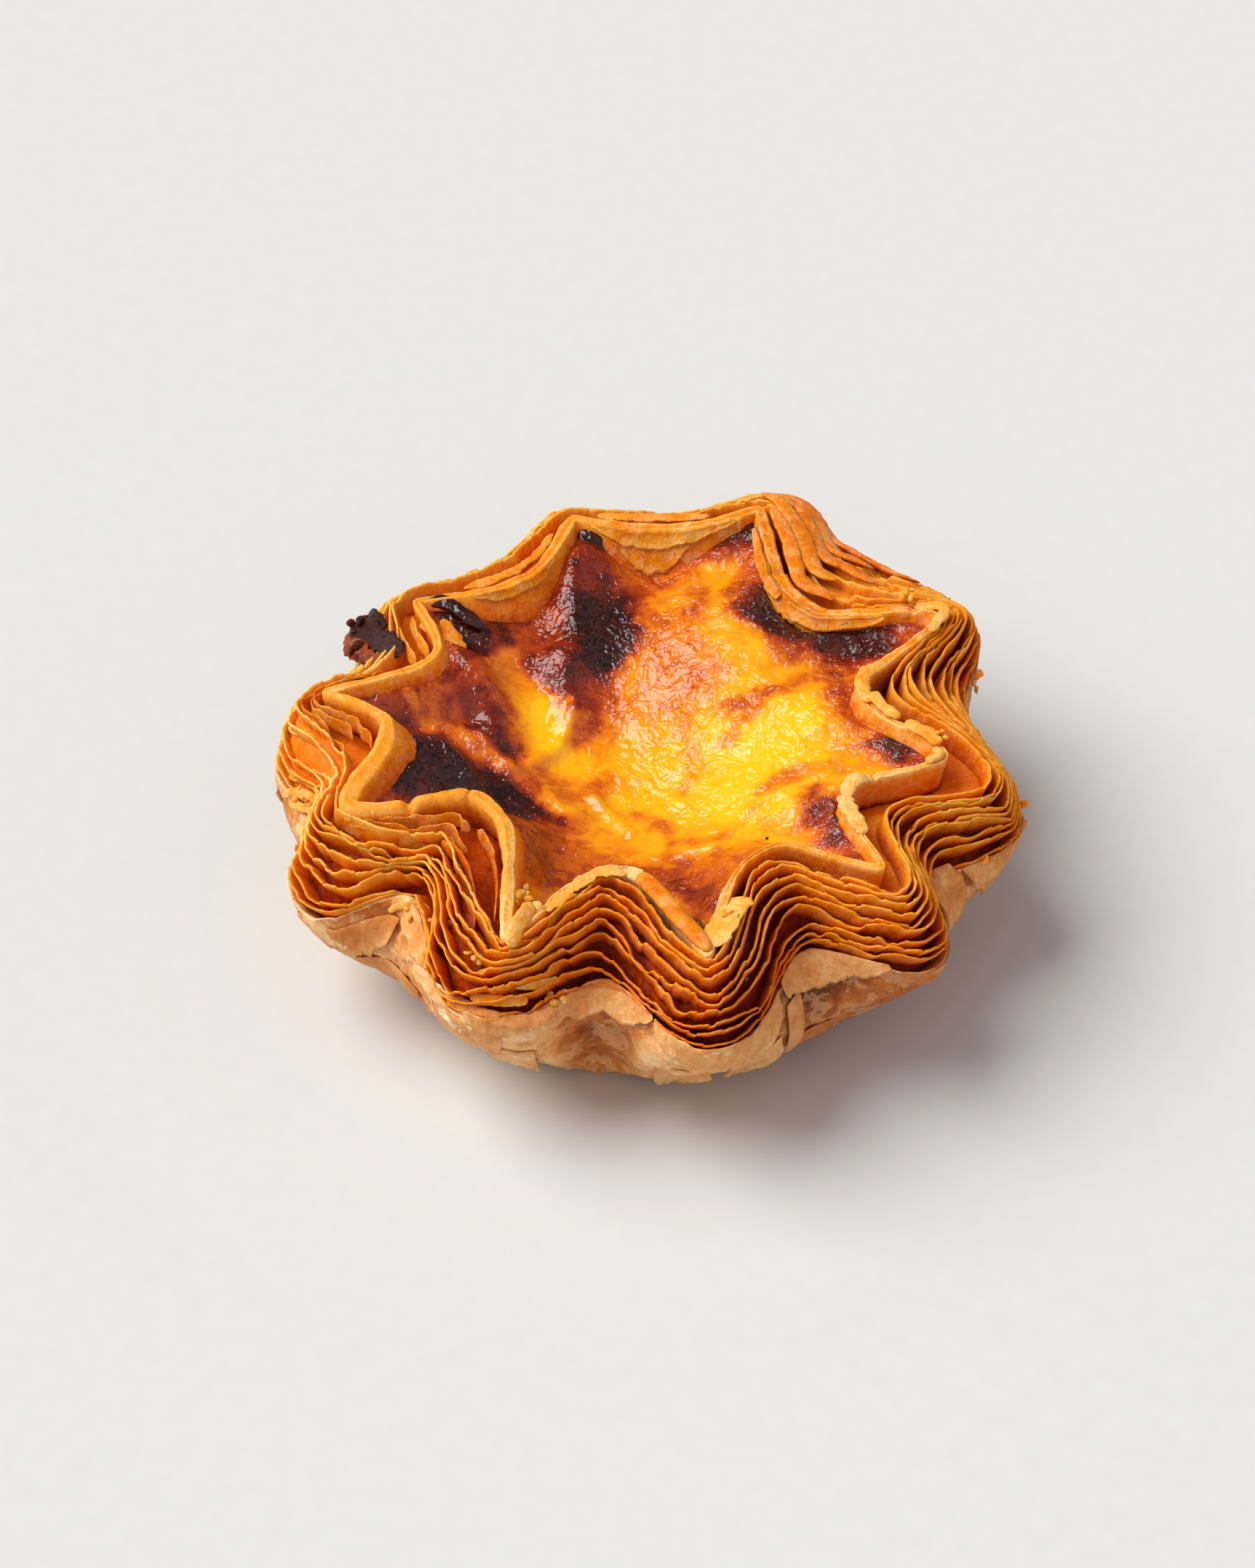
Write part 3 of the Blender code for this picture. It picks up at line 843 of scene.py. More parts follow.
def wall_at(share):
    """The outer wall at shares of the outermost leaf's height: a plain round wall that takes on the
    leaf's ruffle by a power of the share.
    """
    plain = mix(BASE_RADIUS, WALL_TOP_RADIUS, np.maximum(share, 0) ** WALL_CURVE)
    radius = mix(plain, EDGE_R, np.maximum(share, 0) ** DENT_FADE) - HOLLOW_DEPTH * HOLLOW * hollowed(share)
    wave = crimps(LEAVES, 0.0) * 0.6 * np.maximum(share, 0) ** 4
    return on_rim(radius + wave, SKIN_TOP * share)


# Up the inner side of the skin's edge and over it: depth, and share of half its thickness outwards
SKIN_EDGE = ((3.6, -0.9), (2.2, -0.8), (1.0, -0.7), (0.35, -0.6), (0.05, -0.3), (0.05, 0.2))
SKIN_HALF = 0.36
SKIN_BASE = (26.0, 21.0, 12.0, 4.0)  # radii on the flat underside
# Torn layers: size of their patches, level they start at, how far proud, and how much lighter
SKIN_LAYERS = ((9.0, -0.05, 0.30, 0.12), (6.0, 0.05, 0.22, 0.09), (3.6, 0.15, 0.16, 0.08))


def add_skin(piece):
    """The outer wall with torn layers that stand proud in steps; a flat base; and an inner side."""
    line = on_rim(EDGE_R + crimps(LEAVES, 0.0) * 0.6, SKIN_TOP)
    square = outward(round_off(line, 0.7))
    down = -ACROSS * np.sin(LEAF_LEAN_OUT) - UP * np.cos(LEAF_LEAN_OUT)
    rows, tones = [], []
    for depth, side in SKIN_EDGE:
        rows.append(line + down * depth + square * (side * SKIN_HALF))
        # darker with depth down the inner side of the edge: painted shade in the gap behind the outermost
        # leaf
        tones.append(np.interp(depth, (0, 0.3, 1.2, 3.6), (0.80, 0.60, 0.40, 0.12)))
    shares = np.concatenate([1 - np.linspace(0.0, 1, 34)[1:-1] ** 1.15 * 0.97, [0.012]])
    for share in shares:
        foot = smooth(0.0, 0.06, share)
        rows.append(wall_at(all_round(share)) - ACROSS * 0.9 * (1 - foot) ** 2)
        tones.append(0.5)
    wall = slice(len(SKIN_EDGE), len(rows))
    for radius in SKIN_BASE:
        rows.append(on_rim(all_round(radius), all_round(0.0)))
        tones.append(0.35)
    for radius in (4.0, 12.0, 19.0):
        rows.append(on_rim(all_round(radius), all_round(1.5)))
        tones.append(0.2)
    for share in (0.12, 0.4, 0.7):
        rows.append(wall_at(all_round(share)) - ACROSS * 1.7)
        tones.append(0.2)
    points = np.stack(rows, 1)
    tone = np.broadcast_to(tones, points.shape[:2]).copy()
    at = points[:, wall]
    torn, tint = np.zeros(at.shape[:2]), np.zeros(at.shape[:2])
    for i, (size, level, proud, lighter) in enumerate(SKIN_LAYERS):
        layer = smooth(level, level + 0.05, rough(at * np.array([1, 1, 1.6]) + 100 * i, size, 61 + 7 * i, 4))
        torn += proud * layer
        tint += lighter * layer
    fine = noise(at, 1.2, 67) * 0.06 + noise(at, 0.6, 68) * 0.04
    fade = smooth(0.0, 0.08, np.broadcast_to(shares, at.shape[:2]))
    points[:, wall] += ACROSS[:, None, :] * ((torn - 0.35 + fine) * fade)[..., None]
    plain = mix(BASE_RADIUS, WALL_TOP_RADIUS, shares**WALL_CURVE)
    # Where the wall is dented in well inside its plain round shape its tone is darker: painted shade in the
    # dents
    dent = 1 - smooth(0.0, 3.6, np.hypot(at[..., 0], at[..., 1]) - plain + 4.4)
    tone[:, wall] = 0.36 + tint + 0.12 * noise(at, 5.0, 69) - 0.22 * dent + SKIN_TINT[:, None]
    # painted shade in the hollow below the front dent
    tone[:, wall] -= HOLLOW_SHADE * HOLLOW[:, None] * hollowed(shares)
    piece.add_ring(points, tone=tone, char=0.0, flaky=0.7)


# ---- Torn sheets, strips, rolls and crumbs ----


def add_peel(piece, surface, away, thick, seed, ends, shares, proud, flare, tone):
    """A torn sheet on a surface, between two directions and from one share down to another: its lower
    edge is ragged, its ends taper, and it stands proud of the surface, away from it by away's
    vectors, more so towards the lower edge.
    """
    turned = (DEG - ends[0]) % 360
    columns = np.flatnonzero(turned <= ends[1] - ends[0])
    columns = columns[np.argsort(turned[columns])]
    place = turned[columns] / (ends[1] - ends[0])
    wide = (1 - np.abs(2 * place - 1) ** 3.2) ** 0.6
    where = RIM_XY[columns] + UP * (17.0 * seed)
    ragged = 0.45 * noise(where, 3.2, 91) + 0.25 * noise(where, 1.1, 92) + 0.14 * noise(where, 0.5, 93)
    low = mix(shares[0], shares[1], np.clip(wide * (0.85 + 0.55 * ragged), 0.02, 1.3))
    outer, inner, tones = [], [], []
    for down in np.linspace(0, 1, 9):
        share = all_round(1.0)
        share[columns] = mix(shares[0], low, down)
        facing = away[columns]
        points = surface(share)[columns]
        lift = proud + flare * down**2.5 + 0.10 * noise(points, 1.6, 94)
        outer.append(points + facing * lift[:, None])
        inner.append(points + facing * (lift - thick * (1.15 - 0.75 * down))[:, None])
        tones.append(tone + 0.10 * noise(points, 2.2, 95) + 0.10 * down**4)
    points = np.stack(outer + inner[::-1], 1)
    piece.add_tube(points, tone=np.stack(tones + tones[::-1], 1), char=0.0, flaky=0.3)


def through(places, count):
    """Points on a smooth line through the places: a cubic between each two, whose slope at a place is
    half the step from the place before it to the place after it.
    """
    p = np.array(places, float)
    padded = np.concatenate([2 * p[:1] - p[1:2], p, 2 * p[-1:] - p[-2:-1]])
    at = np.linspace(0, len(p) - 1, count)
    i = np.minimum(at.astype(int), len(p) - 2)
    t = (at - i)[:, None]
    a, b, c, d = (padded[i + k] for k in range(4))
    return 0.5 * (2 * b + (c - a) * t + (2 * a - 5 * b + 4 * c - d) * t**2 + (3 * b - a - 3 * c + d) * t**3)


STRIP_STEP = 0.14  # between a strip's rings, where their number allows
STRIP_RINGS = (14, 110)
STRIP_SIDES = 14


def add_strip(piece, places, half_wide, half_thick, facing, seed,
              ragged=0.25, grain=1.0, taper=8.0, **values):
    """A strip or roll: a flattened oval carried along a smooth line, its flat side turned to facing,
    with ragged edges and blunt ends.
    """
    length = np.linalg.norm(np.diff(through(places, 40), axis=0), axis=1).sum()
    count = int(np.clip(length / STRIP_STEP, *STRIP_RINGS))
    line = through(places, count)
    along = np.gradient(line, axis=0)
    along /= np.linalg.norm(along, axis=1, keepdims=True)
    wide_way = np.cross(along, np.array(facing, float))
    wide_way /= np.linalg.norm(wide_way, axis=1, keepdims=True)
    thick_way = np.cross(wide_way, along)
    end = np.abs(np.linspace(-1, 1, count))
    blunt = (1 - np.minimum(end, 0.995) ** taper) ** 0.5
    turn = np.arange(STRIP_SIDES) / STRIP_SIDES * 2 * np.pi
    u, v = np.cos(turn), np.sign(np.sin(turn)) * np.abs(np.sin(turn)) ** 0.7
    edge_side = np.sign(np.round(u, 3))[None, :, None]
    where = line[:, None, :] + edge_side * np.array([0, 0, 40.0]) + 17.0 * seed
    edge = 1 + ragged * (noise(where, 1.1 * grain, 96) + 0.7 * noise(where, 0.45 * grain, 97))
    swell_now = 1 + 0.14 * noise(line + 9.0 * seed, 2.6, 98)
    across = u[None, :] * half_wide * edge * blunt[:, None]
    raised = v[None, :] * half_thick * (swell_now * blunt)[:, None]
    raised = raised + 0.18 * half_wide * (u[None, :] ** 2) * ragged
    points = line[:, None, :] + wide_way[:, None, :] * across[..., None]
    points = points + thick_way[:, None, :] * raised[..., None]
    points += 0.06 * noise(points, 0.8, 99)[..., None] * thick_way[:, None, :]
    given = {"tone": 0.7, "char": 0.0, "flaky": 0.3, **values}
    given["tone"] = given["tone"] + 0.08 * noise(points, 1.2, 90)
    piece.add_tube(points, **given)


def add_crumb(piece, place, size, seed, **values):
    """A crumb: a ball drawn out unevenly and dented by noise."""
    rings, around = 5, 7
    rise = np.linspace(-1, 1, rings + 2)[1:-1][:, None] * np.ones(around)
    turn = np.arange(around) / around * 2 * np.pi
    flat = np.sqrt(1 - rise**2)
    ball = np.stack([flat * np.cos(turn), flat * np.sin(turn), rise], -1)
    stretch = 1 + 0.45 * lattice(np.array([[1, seed, 0], [2, seed, 0], [3, seed, 0]]), 5)
    points = ball * stretch * size * (1 + 0.45 * noise(ball * 1.3 + seed * 7.7, 1.0, 89))[..., None]
    piece.add_tube(points + np.array(place, float), **values)


PEELS = (  # directions, shares of the wall's height, how far proud, flare, tone
    ((243, 272), (1.04, 0.84), 0.12, 0.3, 0.58),
    ((246, 253), (0.70, 0.10), 0.10, 0.9, 0.64),
    ((236, 249), (0.97, 0.52), 0.10, 0.3, 0.54),
    ((272, 294), (1.02, 0.66), 0.10, 0.4, 0.58),
    ((272, 281), (0.66, 0.08), 0.10, 1.1, 0.62),
    ((284, 294), (0.70, 0.12), 0.12, 1.0, 0.66),
    ((295, 312), (1.03, 0.86), 0.12, 0.3, 0.54),
    ((295, 299), (0.90, 0.30), 0.12, 0.4, 0.56),
    ((299, 306), (0.55, 0.16), 0.05, 0.2, 0.34),
    ((313, 328), (1.0, 0.86), 0.10, 0.3, 0.32),
    ((329, 337), (1.06, 0.50), 0.25, 0.8, 0.50),
    ((338, 352), (1.0, 0.66), 0.15, 0.7, 0.48),
    ((222, 233), (1.0, 0.80), 0.08, 0.3, 0.50),
    ((205, 222), (0.90, 0.62), 0.06, 0.2, 0.46),
    ((214, 229), (0.60, 0.40), 0.06, 0.2, 0.44),
    ((184, 198), (1.0, 0.62), 0.12, 0.5, 0.50),
    ((168, 180), (0.9, 0.55), 0.10, 0.4, 0.46),
    ((146, 160), (1.0, 0.70), 0.12, 0.6, 0.52),
    ((118, 134), (0.98, 0.60), 0.10, 0.4, 0.50),
    ((96, 110), (0.7, 0.38), 0.08, 0.4, 0.46),
    ((78, 94), (1.0, 0.66), 0.12, 0.5, 0.50),
    ((48, 62), (0.96, 0.56), 0.10, 0.4, 0.48),
    ((20, 36), (1.0, 0.74), 0.14, 0.6, 0.48),
    ((4, 16), (0.8, 0.45), 0.08, 0.4, 0.46),
)
LIP_PEELS = (  # directions, shares of the way down the lip's inner face, how far proud, flare, tone
    ((73, 100), (0.02, 0.50), 0.16, 0.25, 0.66),
    ((80, 97), (0.30, 0.86), 0.06, 0.20, 0.54),
    ((38, 60), (-0.05, 0.85), 0.30, 0.55, 0.48),
    ((34, 50), (-0.10, 0.55), 0.65, 0.50, 0.56),
    ((52, 66), (-0.05, 0.70), 0.55, 0.30, 0.50),
    ((111, 133), (0.05, 0.42), 0.10, 0.15, 0.62),
)


def beside(line, square, deg, out, rise):
    """A point out from and above a line round the rim, in a direction."""
    column = np.abs((DEG - deg + 180) % 360 - 180).argmin()
    return line[column] + square[column] * out + UP * rise


# Rolls and flakes on the lip, by direction, distance out from its middle, and rise above its top
Roll = namedtuple("Roll", "tone half_wide half_thick ragged places")
ROLLS = (
    Roll(0.58, 0.95, 0.60, 0.08,
         ((269.6, 0.1, 0.0), (273.5, 0.2, 0.15), (277.5, 0.1, 0.2), (281.4, 0.2, 0.0))),
    Roll(0.82, 0.55, 0.14, 0.5,
         ((250.5, 0.6, 0.0), (255.0, 0.5, 0.15), (261.0, 0.6, 0.15), (266.5, 0.6, 0.1))),
    Roll(0.88, 0.80, 0.30, 0.30,
         ((330.0, -0.1, 0.1), (333.2, -0.2, 0.2), (336.6, -0.1, 0.2), (338.6, 0.1, 0.0))),
    Roll(0.90, 0.90, 0.32, 0.30,
         ((322.6, 0.2, -0.1), (325.6, 0.1, 0.25), (328.2, 0.0, 0.25), (330.4, 0.0, 0.1))),
    Roll(0.80, 0.80, 0.28, 0.30,
         ((6.0, 0.2, 0.1), (11.0, 0.0, 0.2), (15.0, 0.0, 0.2), (19.0, 0.2, 0.0))),
    Roll(0.82, 0.65, 0.26, 0.30,
         ((359.6, 0.5, 0.1), (4.0, 0.6, 0.3), (9.0, 0.9, 0.2))),
    Roll(0.76, 0.75, 0.26, 0.30,
         ((352.6, -0.2, 0.1), (355.0, 0.1, 0.3), (358.4, 0.3, 0.2))),
    Roll(0.86, 0.50, 0.35, 0.25,
         ((346.6, -0.3, 0.0), (349.0, -0.5, 0.2), (352.0, -0.8, 0.1))),
    Roll(0.84, 0.60, 0.20, 0.30,
         ((24.0, 0.4, 0.1), (27.4, 0.6, 0.3), (31.0, 0.5, 0.1))),
    Roll(0.66, 0.55, 0.16, 0.30,
         ((76.0, 1.1, -0.3), (84.0, 1.3, 0.0), (92.0, 1.3, 0.0), (99.0, 1.1, -0.3))),
    Roll(0.66, 0.50, 0.14, 0.30,
         ((107.0, 1.0, -0.2), (114.0, 1.2, 0.0), (124.0, 1.2, 0.0), (134.0, 1.0, -0.3))),
)
# Strips, by the way their flat side faces and points in millimetres from the ruffles' axis
Strip = namedtuple("Strip", "tone half_wide half_thick facing places")
STRIPS = (
    # flakes beside the two front pinches
    Strip(0.84, 1.7, 0.25, (-0.5, -0.5, 0.7),
          ((7.0, -33.8, 25.9), (8.8, -30.8, 26.4), (10.8, -27.0, 26.2))),
    Strip(0.84, 0.8, 0.30, (0.3, -0.6, 0.7),
          ((-13.5, -34.0, 26.1), (-12.5, -31.2, 26.5), (-11.2, -28.2, 26.5))),
    # frayed leaves at the front left
    Strip(0.92, 0.5, 0.10, (0.1, -0.8, 0.6),
          ((-15.4, -33.6, 21.0), (-12.0, -34.6, 20.8), (-8.4, -33.2, 20.4))),
    Strip(0.90, 0.4, 0.10, (-0.4, -0.6, 0.7),
          ((-17.4, -34.0, 21.2), (-15.4, -33.4, 22.2), (-14.4, -32.0, 21.8))),
    Strip(0.66, 0.6, 0.12, (0.1, -0.6, 0.8),
          ((-17.6, -35.2, 19.8), (-14.6, -36.0, 20.0), (-11.6, -35.4, 19.6))),
    # curls in the dent at the left
    Strip(0.80, 0.40, 0.10, (-0.3, -0.8, 0.5),
          ((-26.6, -21.6, 18.6), (-24.8, -22.2, 20.2), (-22.6, -22.4, 20.0), (-22.2, -23.4, 18.8))),
    Strip(0.74, 0.35, 0.10, (-0.3, -0.8, 0.5),
          ((-25.6, -22.6, 17.8), (-24.2, -23.2, 19.0), (-23.2, -23.6, 18.4))),
    Strip(0.88, 0.30, 0.10, (-0.5, -0.6, 0.6),
          ((-21.8, -26.2, 20.4), (-21.2, -24.8, 22.0), (-19.9, -24.2, 22.2), (-19.2, -25.2, 21.2))),
    Strip(0.86, 0.28, 0.10, (-0.5, -0.6, 0.6),
          ((-21.2, -27.0, 20.2), (-20.2, -26.0, 21.4), (-19.4, -26.4, 20.8))),
    # the flap at the left back fold, and leaves folded up behind it
    Strip(0.60, 1.5, 0.16, (0.5, -0.7, 0.5),
          ((-23.6, 17.6, 25.0), (-21.4, 14.6, 25.0), (-19.6, 11.2, 23.8))),
    Strip(0.66, 0.9, 0.12, (-0.8, -0.5, 0.2),
          ((-25.4, 17.6, 24.6), (-24.6, 14.6, 24.8), (-23.2, 11.8, 24.6))),
    Strip(0.66, 0.9, 0.12, (-0.8, -0.5, 0.2),
          ((-26.8, 16.6, 24.0), (-26.0, 13.8, 24.2), (-24.6, 11.0, 24.0))),
    # short terraces at the far left
    Strip(0.74, 0.50, 0.12, (-0.2, -0.6, 0.8),
          ((-37.6, 0.6, 18.9), (-35.0, -0.2, 19.8), (-33.0, -2.8, 20.8))),
    Strip(0.80, 0.50, 0.12, (-0.2, -0.6, 0.8),
          ((-38.2, -0.8, 18.3), (-35.8, -2.6, 19.4), (-33.2, -5.6, 20.4))),
    Strip(0.72, 0.50, 0.12, (-0.2, -0.6, 0.8),
          ((-38.4, -2.9, 18.1), (-36.0, -4.4, 19.0), (-33.6, -7.4, 20.0))),
    Strip(0.78, 0.45, 0.12, (-0.2, -0.6, 0.8),
          ((-38.0, -4.4, 17.7), (-35.6, -6.4, 18.6), (-34.2, -8.6, 19.4))),
    # thin sheets that stand on edge in the open pocket at the left
    Strip(0.42, 1.3, 0.13, (1.0, 0.3, 0.0),
          ((-21.0, -17.6, 24.6), (-18.6, -20.4, 24.6), (-17.4, -24.6, 24.2), (-17.2, -29.0, 23.6))),
    Strip(0.46, 1.4, 0.13, (1.0, 0.3, 0.0),
          ((-17.2, -16.4, 25.2), (-15.6, -20.0, 25.2), (-15.0, -24.4, 24.8), (-15.1, -28.8, 24.2))),
)
SKIN_STRIPS = (  # the rolled outermost band at the front left, and the sheet peeled off beside it
    Strip(0.56, 0.8, 0.45, (-0.2, -0.7, 0.7),
          ((-20.4, -33.4, 18.2), (-15.6, -36.4, 18.0), (-11.0, -36.5, 17.6), (-8.6, -34.2, 17.8))),
    Strip(0.72, 0.95, 0.14, (-0.6, -0.7, 0.4),
          ((-16.4, -36.2, 17.0), (-20.2, -33.8, 17.8), (-23.6, -30.4, 19.2))),
)
LOW_LEAVES = (  # short leaves low in the open pockets: share of the pocket, first and last direction
    (0.30, 168, 186), (0.50, 164, 182), (0.72, 160, 180), (0.88, 166, 190),
    (0.45, 206, 222), (0.70, 203, 226), (0.90, 205, 232),
)
BUNDLE = (  # broad folded layers over the leaves: share of the crest, directions, half the width, tone
    (0.10, 43, 67, 0.95, 0.52),
    (0.27, 47, 70, 1.10, 0.56),
    (0.44, 42, 66, 1.10, 0.50),
    (0.62, 46, 72, 1.20, 0.52),
    (0.82, 40, 68, 1.20, 0.46),
)
SPIKES = (  # torn tips on the outermost leaf: direction, how far out, how far up
    (21.0, 1.4, 0.5), (8.6, 1.0, -0.6), (354.4, 1.1, 0.8), (341.0, 0.9, 0.5),
    (112.0, 0.8, 1.2), (232.0, 0.9, 0.4), (196.0, 0.8, 0.6),
)
SCRAP = (  # a burnt scrap behind the left back fold: half the width, how burnt, places
    (1.6, 0.92, ((-26.2, 12.6, 24.2), (-28.6, 14.6, 23.9), (-30.6, 17.4, 23.2), (-31.4, 20.2, 22.2))),
    (1.2, 0.45, ((-27.8, 11.4, 23.4), (-30.2, 13.4, 22.9), (-31.8, 16.4, 22.2), (-32.4, 19.0, 21.4))),
    (0.7, 0.95, ((-28.4, 16.8, 24.0), (-29.4, 19.4, 23.4), (-30.2, 21.4, 22.2))),
)
SCRAP_CRUMBS = 26
SPECKS = ((9.0, 0.2, 20.0), (13.4, -13.5, 21.5), (-7.8, -15.9, 19.3))  # burnt specks on the custard
DRIPS = (  # glossy burnt custard that stands on the lip: half the width, half the thickness, places
    (0.80, 0.50, ((-25.4, 19.3, 25.8), (-22.2, 18.9, 26.0), (-19.3, 17.4, 25.5), (-17.5, 16.3, 24.7))),
    (0.70, 0.30, ((-32.4, 4.9, 25.8), (-30.0, 5.7, 25.9), (-27.6, 5.4, 25.4))),
    (1.20, 0.36, ((-6.8, 33.0, 25.9), (-5.8, 31.0, 25.4), (-5.0, 28.4, 24.2))),
    (0.90, 0.40, ((6.3, -32.6, 25.0), (5.9, -30.4, 24.6), (5.4, -27.2, 23.4))),
    (0.80, 0.36, ((12.0, 33.2, 25.6), (12.6, 31.0, 25.1), (13.4, 28.6, 24.4))),
)
CRUMB_SPOTS = (  # place, spread, count, size
    ((-11.8, -26.4, 25.6), 1.3, 9, 0.36),
    ((-12.4, -24.6, 24.6), 0.9, 5, 0.30),
    ((-17.0, -32.0, 22.6), 0.9, 6, 0.34),
    ((-21.0, -25.4, 21.8), 0.9, 7, 0.30),
    ((-23.6, -23.0, 19.8), 1.0, 7, 0.30),
    ((-8.6, -33.6, 18.8), 1.0, 5, 0.28),
    ((29.6, 20.0, 26.9), 1.2, 7, 0.34),
    ((32.6, -3.2, 27.0), 0.9, 5, 0.28),
    ((9.2, -29.8, 27.1), 0.9, 5, 0.26),
    ((10.4, -33.4, 21.6), 0.7, 4, 0.24),
    ((-34.0, 0.4, 21.6), 1.6, 10, 0.30),
    ((-35.6, -5.4, 20.4), 1.5, 9, 0.30),
    ((-35.8, 5.0, 20.6), 1.4, 8, 0.28),
)


def four_draws(number, first):
    """Four repeatable numbers from -1 to 1, from the lattice."""
    return lattice(np.array([[number, first + k, 0] for k in range(4)]), 9)


def add_crumbs(piece):
    """Crumbs strewn round each spot."""
    seed = 1
    for (x, y, z), spread, count, size in CRUMB_SPOTS:
        for _ in range(count):
            a, b, c, d = four_draws(seed, 1)
            place = (x + a * spread, y + b * spread, z + 0.35 * c * spread - 0.2)
            add_crumb(piece, place, size * (1 + 0.5 * d), seed, tone=0.86 + 0.1 * a, char=0.0, flaky=0.2)
            seed += 1


def add_strips(piece, strips, seed):
    """Each strip of a table, with seeds counted on from the first one's."""
    for i, strip in enumerate(strips):
        add_strip(piece, strip.places, strip.half_wide, strip.half_thick, strip.facing, seed + i,
                  tone=strip.tone)


def add_rolls(piece):
    """The rolls and flakes on the lip, from their places beside its top line."""
    for i, roll in enumerate(ROLLS):
        places = [beside(LIP_LINE, LIP_SQUARE, *place) for place in roll.places]
        add_strip(piece, places, roll.half_wide, roll.half_thick, (0.1, -0.2, 1.0), 30 + i, roll.ragged,
                  tone=roll.tone)


def add_spikes(piece):
    """Torn tips, each from just inside the wall's top edge outwards."""
    edge = wall_at(all_round(1.0))
    for i, (deg, out, rise) in enumerate(SPIKES):
        places = []
        for share in (0.0, 0.6, 1.0):
            places.append(beside(edge, ACROSS, deg, out * share - 0.3, rise * share - 0.2))
        add_strip(piece, places, 0.45, 0.12, (0.3, -0.4, 0.8), 60 + i, 0.4, tone=0.7)


def wavy_places(line, first, last, count, wave, pace, start, rise):
    """Places along a line round the rim, from one direction to another, swung out and in by a sine."""
    places = []
    for k, deg in enumerate(np.linspace(first, last, count)):
        places.append(beside(line, ACROSS, deg, wave * np.sin(pace * k + start), rise))
    return places


def add_low_leaves(piece):
    """Short wavy leaves on edge, below the crest in the open pockets."""
    for i, (place, first, last) in enumerate(LOW_LEAVES):
        low = on_rim(*crest(place * POCKET))
        places = wavy_places(low, first, last, 9, 0.35, 2.3, i, -1.7 - 0.5 * place)
        outwards = beside(0 * low, ACROSS, (first + last) / 2, 1.0, 0.0)
        add_strip(piece, places, 1.1, 0.10, outwards, 120 + i, tone=0.60)


def add_bundle(piece):
    """The broad folded layers over the leaves, each turned to face away from the crest."""
    for i, (place, first, last, half_wide, tone) in enumerate(BUNDLE):
        top = on_rim(*crest(all_round(place)))
        places = wavy_places(top, first, last, 8, 0.3, 1.7, 2.3 * i, 0.1)
        turn = 0.8 * place * CREST_ARC
        facing = beside(0 * top, ACROSS, (first + last) / 2, np.sin(turn), np.cos(turn))
        add_strip(piece, places, half_wide, 0.42, facing, 140 + i, 0.16, 2.0, 3.0, tone=tone)


def add_scrap(piece):
    """The burnt strips, crumbs strewn over them, and the specks on the custard."""
    for i, (half_wide, char, places) in enumerate(SCRAP):
        add_strip(piece, places, half_wide, 0.30, (-0.3, -0.5, 0.8), 77 + i, 0.40, 1.2,
                  tone=0.3, char=char, flaky=0.6)
    for i in range(SCRAP_CRUMBS):
        a, b, c, d = four_draws(i, 5)
        place = (-30.4 + 1.9 * a, 16.4 + 3.2 * b, 22.7 + 0.3 * a + 0.9 * c)
        add_crumb(piece, place, 0.42 * (1 + 0.5 * d), 300 + i, tone=0.5, char=0.66 + 0.28 * c, flaky=0.4)
    for i, place in enumerate(SPECKS):
        add_crumb(piece, place, 0.17, 340 + i, tone=0.3, char=1.0, flaky=0.0)


def add_drips(piece):
    """The burnt custard that stands on the lip."""
    for i, (half_wide, half_thick, places) in enumerate(DRIPS):
        add_strip(piece, places, half_wide, half_thick, (0, -0.3, 0.9), 100 + i, 0.42, 1.4, 2.6,
                  toast=0.94, wrinkled=0.3, bubbly=0.3)


# ---- The custard ----

Mark = namedtuple("Mark", "x y half_x half_y turn toast")
PALE_MARKS = (
    Mark(7.0, 1.0, 18.0, 17.0, 0, 0.28),
    Mark(1.0, -6.0, 8.0, 6.5, -30, 0.20),
    Mark(13.0, -1.5, 9.5, 9.5, 20, 0.06),
    Mark(14.0, -2.0, 5.5, 6.0, 10, 0.00),
    Mark(8.5, 12.0, 6.5, 4.5, 20, 0.20),
    Mark(14.5, 18.5, 6.5, 4.0, -30, 0.22),
    Mark(3.2, 21.5, 4.6, 1.8, 0, 0.20),
    Mark(8.9, 25.0, 1.6, 4.2, 0, 0.14),
    Mark(-13.4, 4.0, 1.8, 3.6, 0, 0.26),
    Mark(-7.0, 3.6, 3.0, 3.4, -30, 0.16),
    Mark(5.0, -13.6, 8.0, 1.8, 4, 0.26),
    Mark(24.5, 0.6, 4.0, 1.6, 0, 0.30),
)
LATE_MARKS = (
    Mark(-10.6, 6.4, 3.7, 2.5, -62, 0.04),
    Mark(-8.2, 1.4, 2.6, 2.2, -20, 0.14),
    Mark(-7.6, -4.6, 3.0, 1.8, -35, 0.30),
    Mark(4.0, 12.0, 3.8, 5.0, 0, 0.49),
    Mark(2.0, 21.0, 2.6, 1.4, 0, 0.40),
)
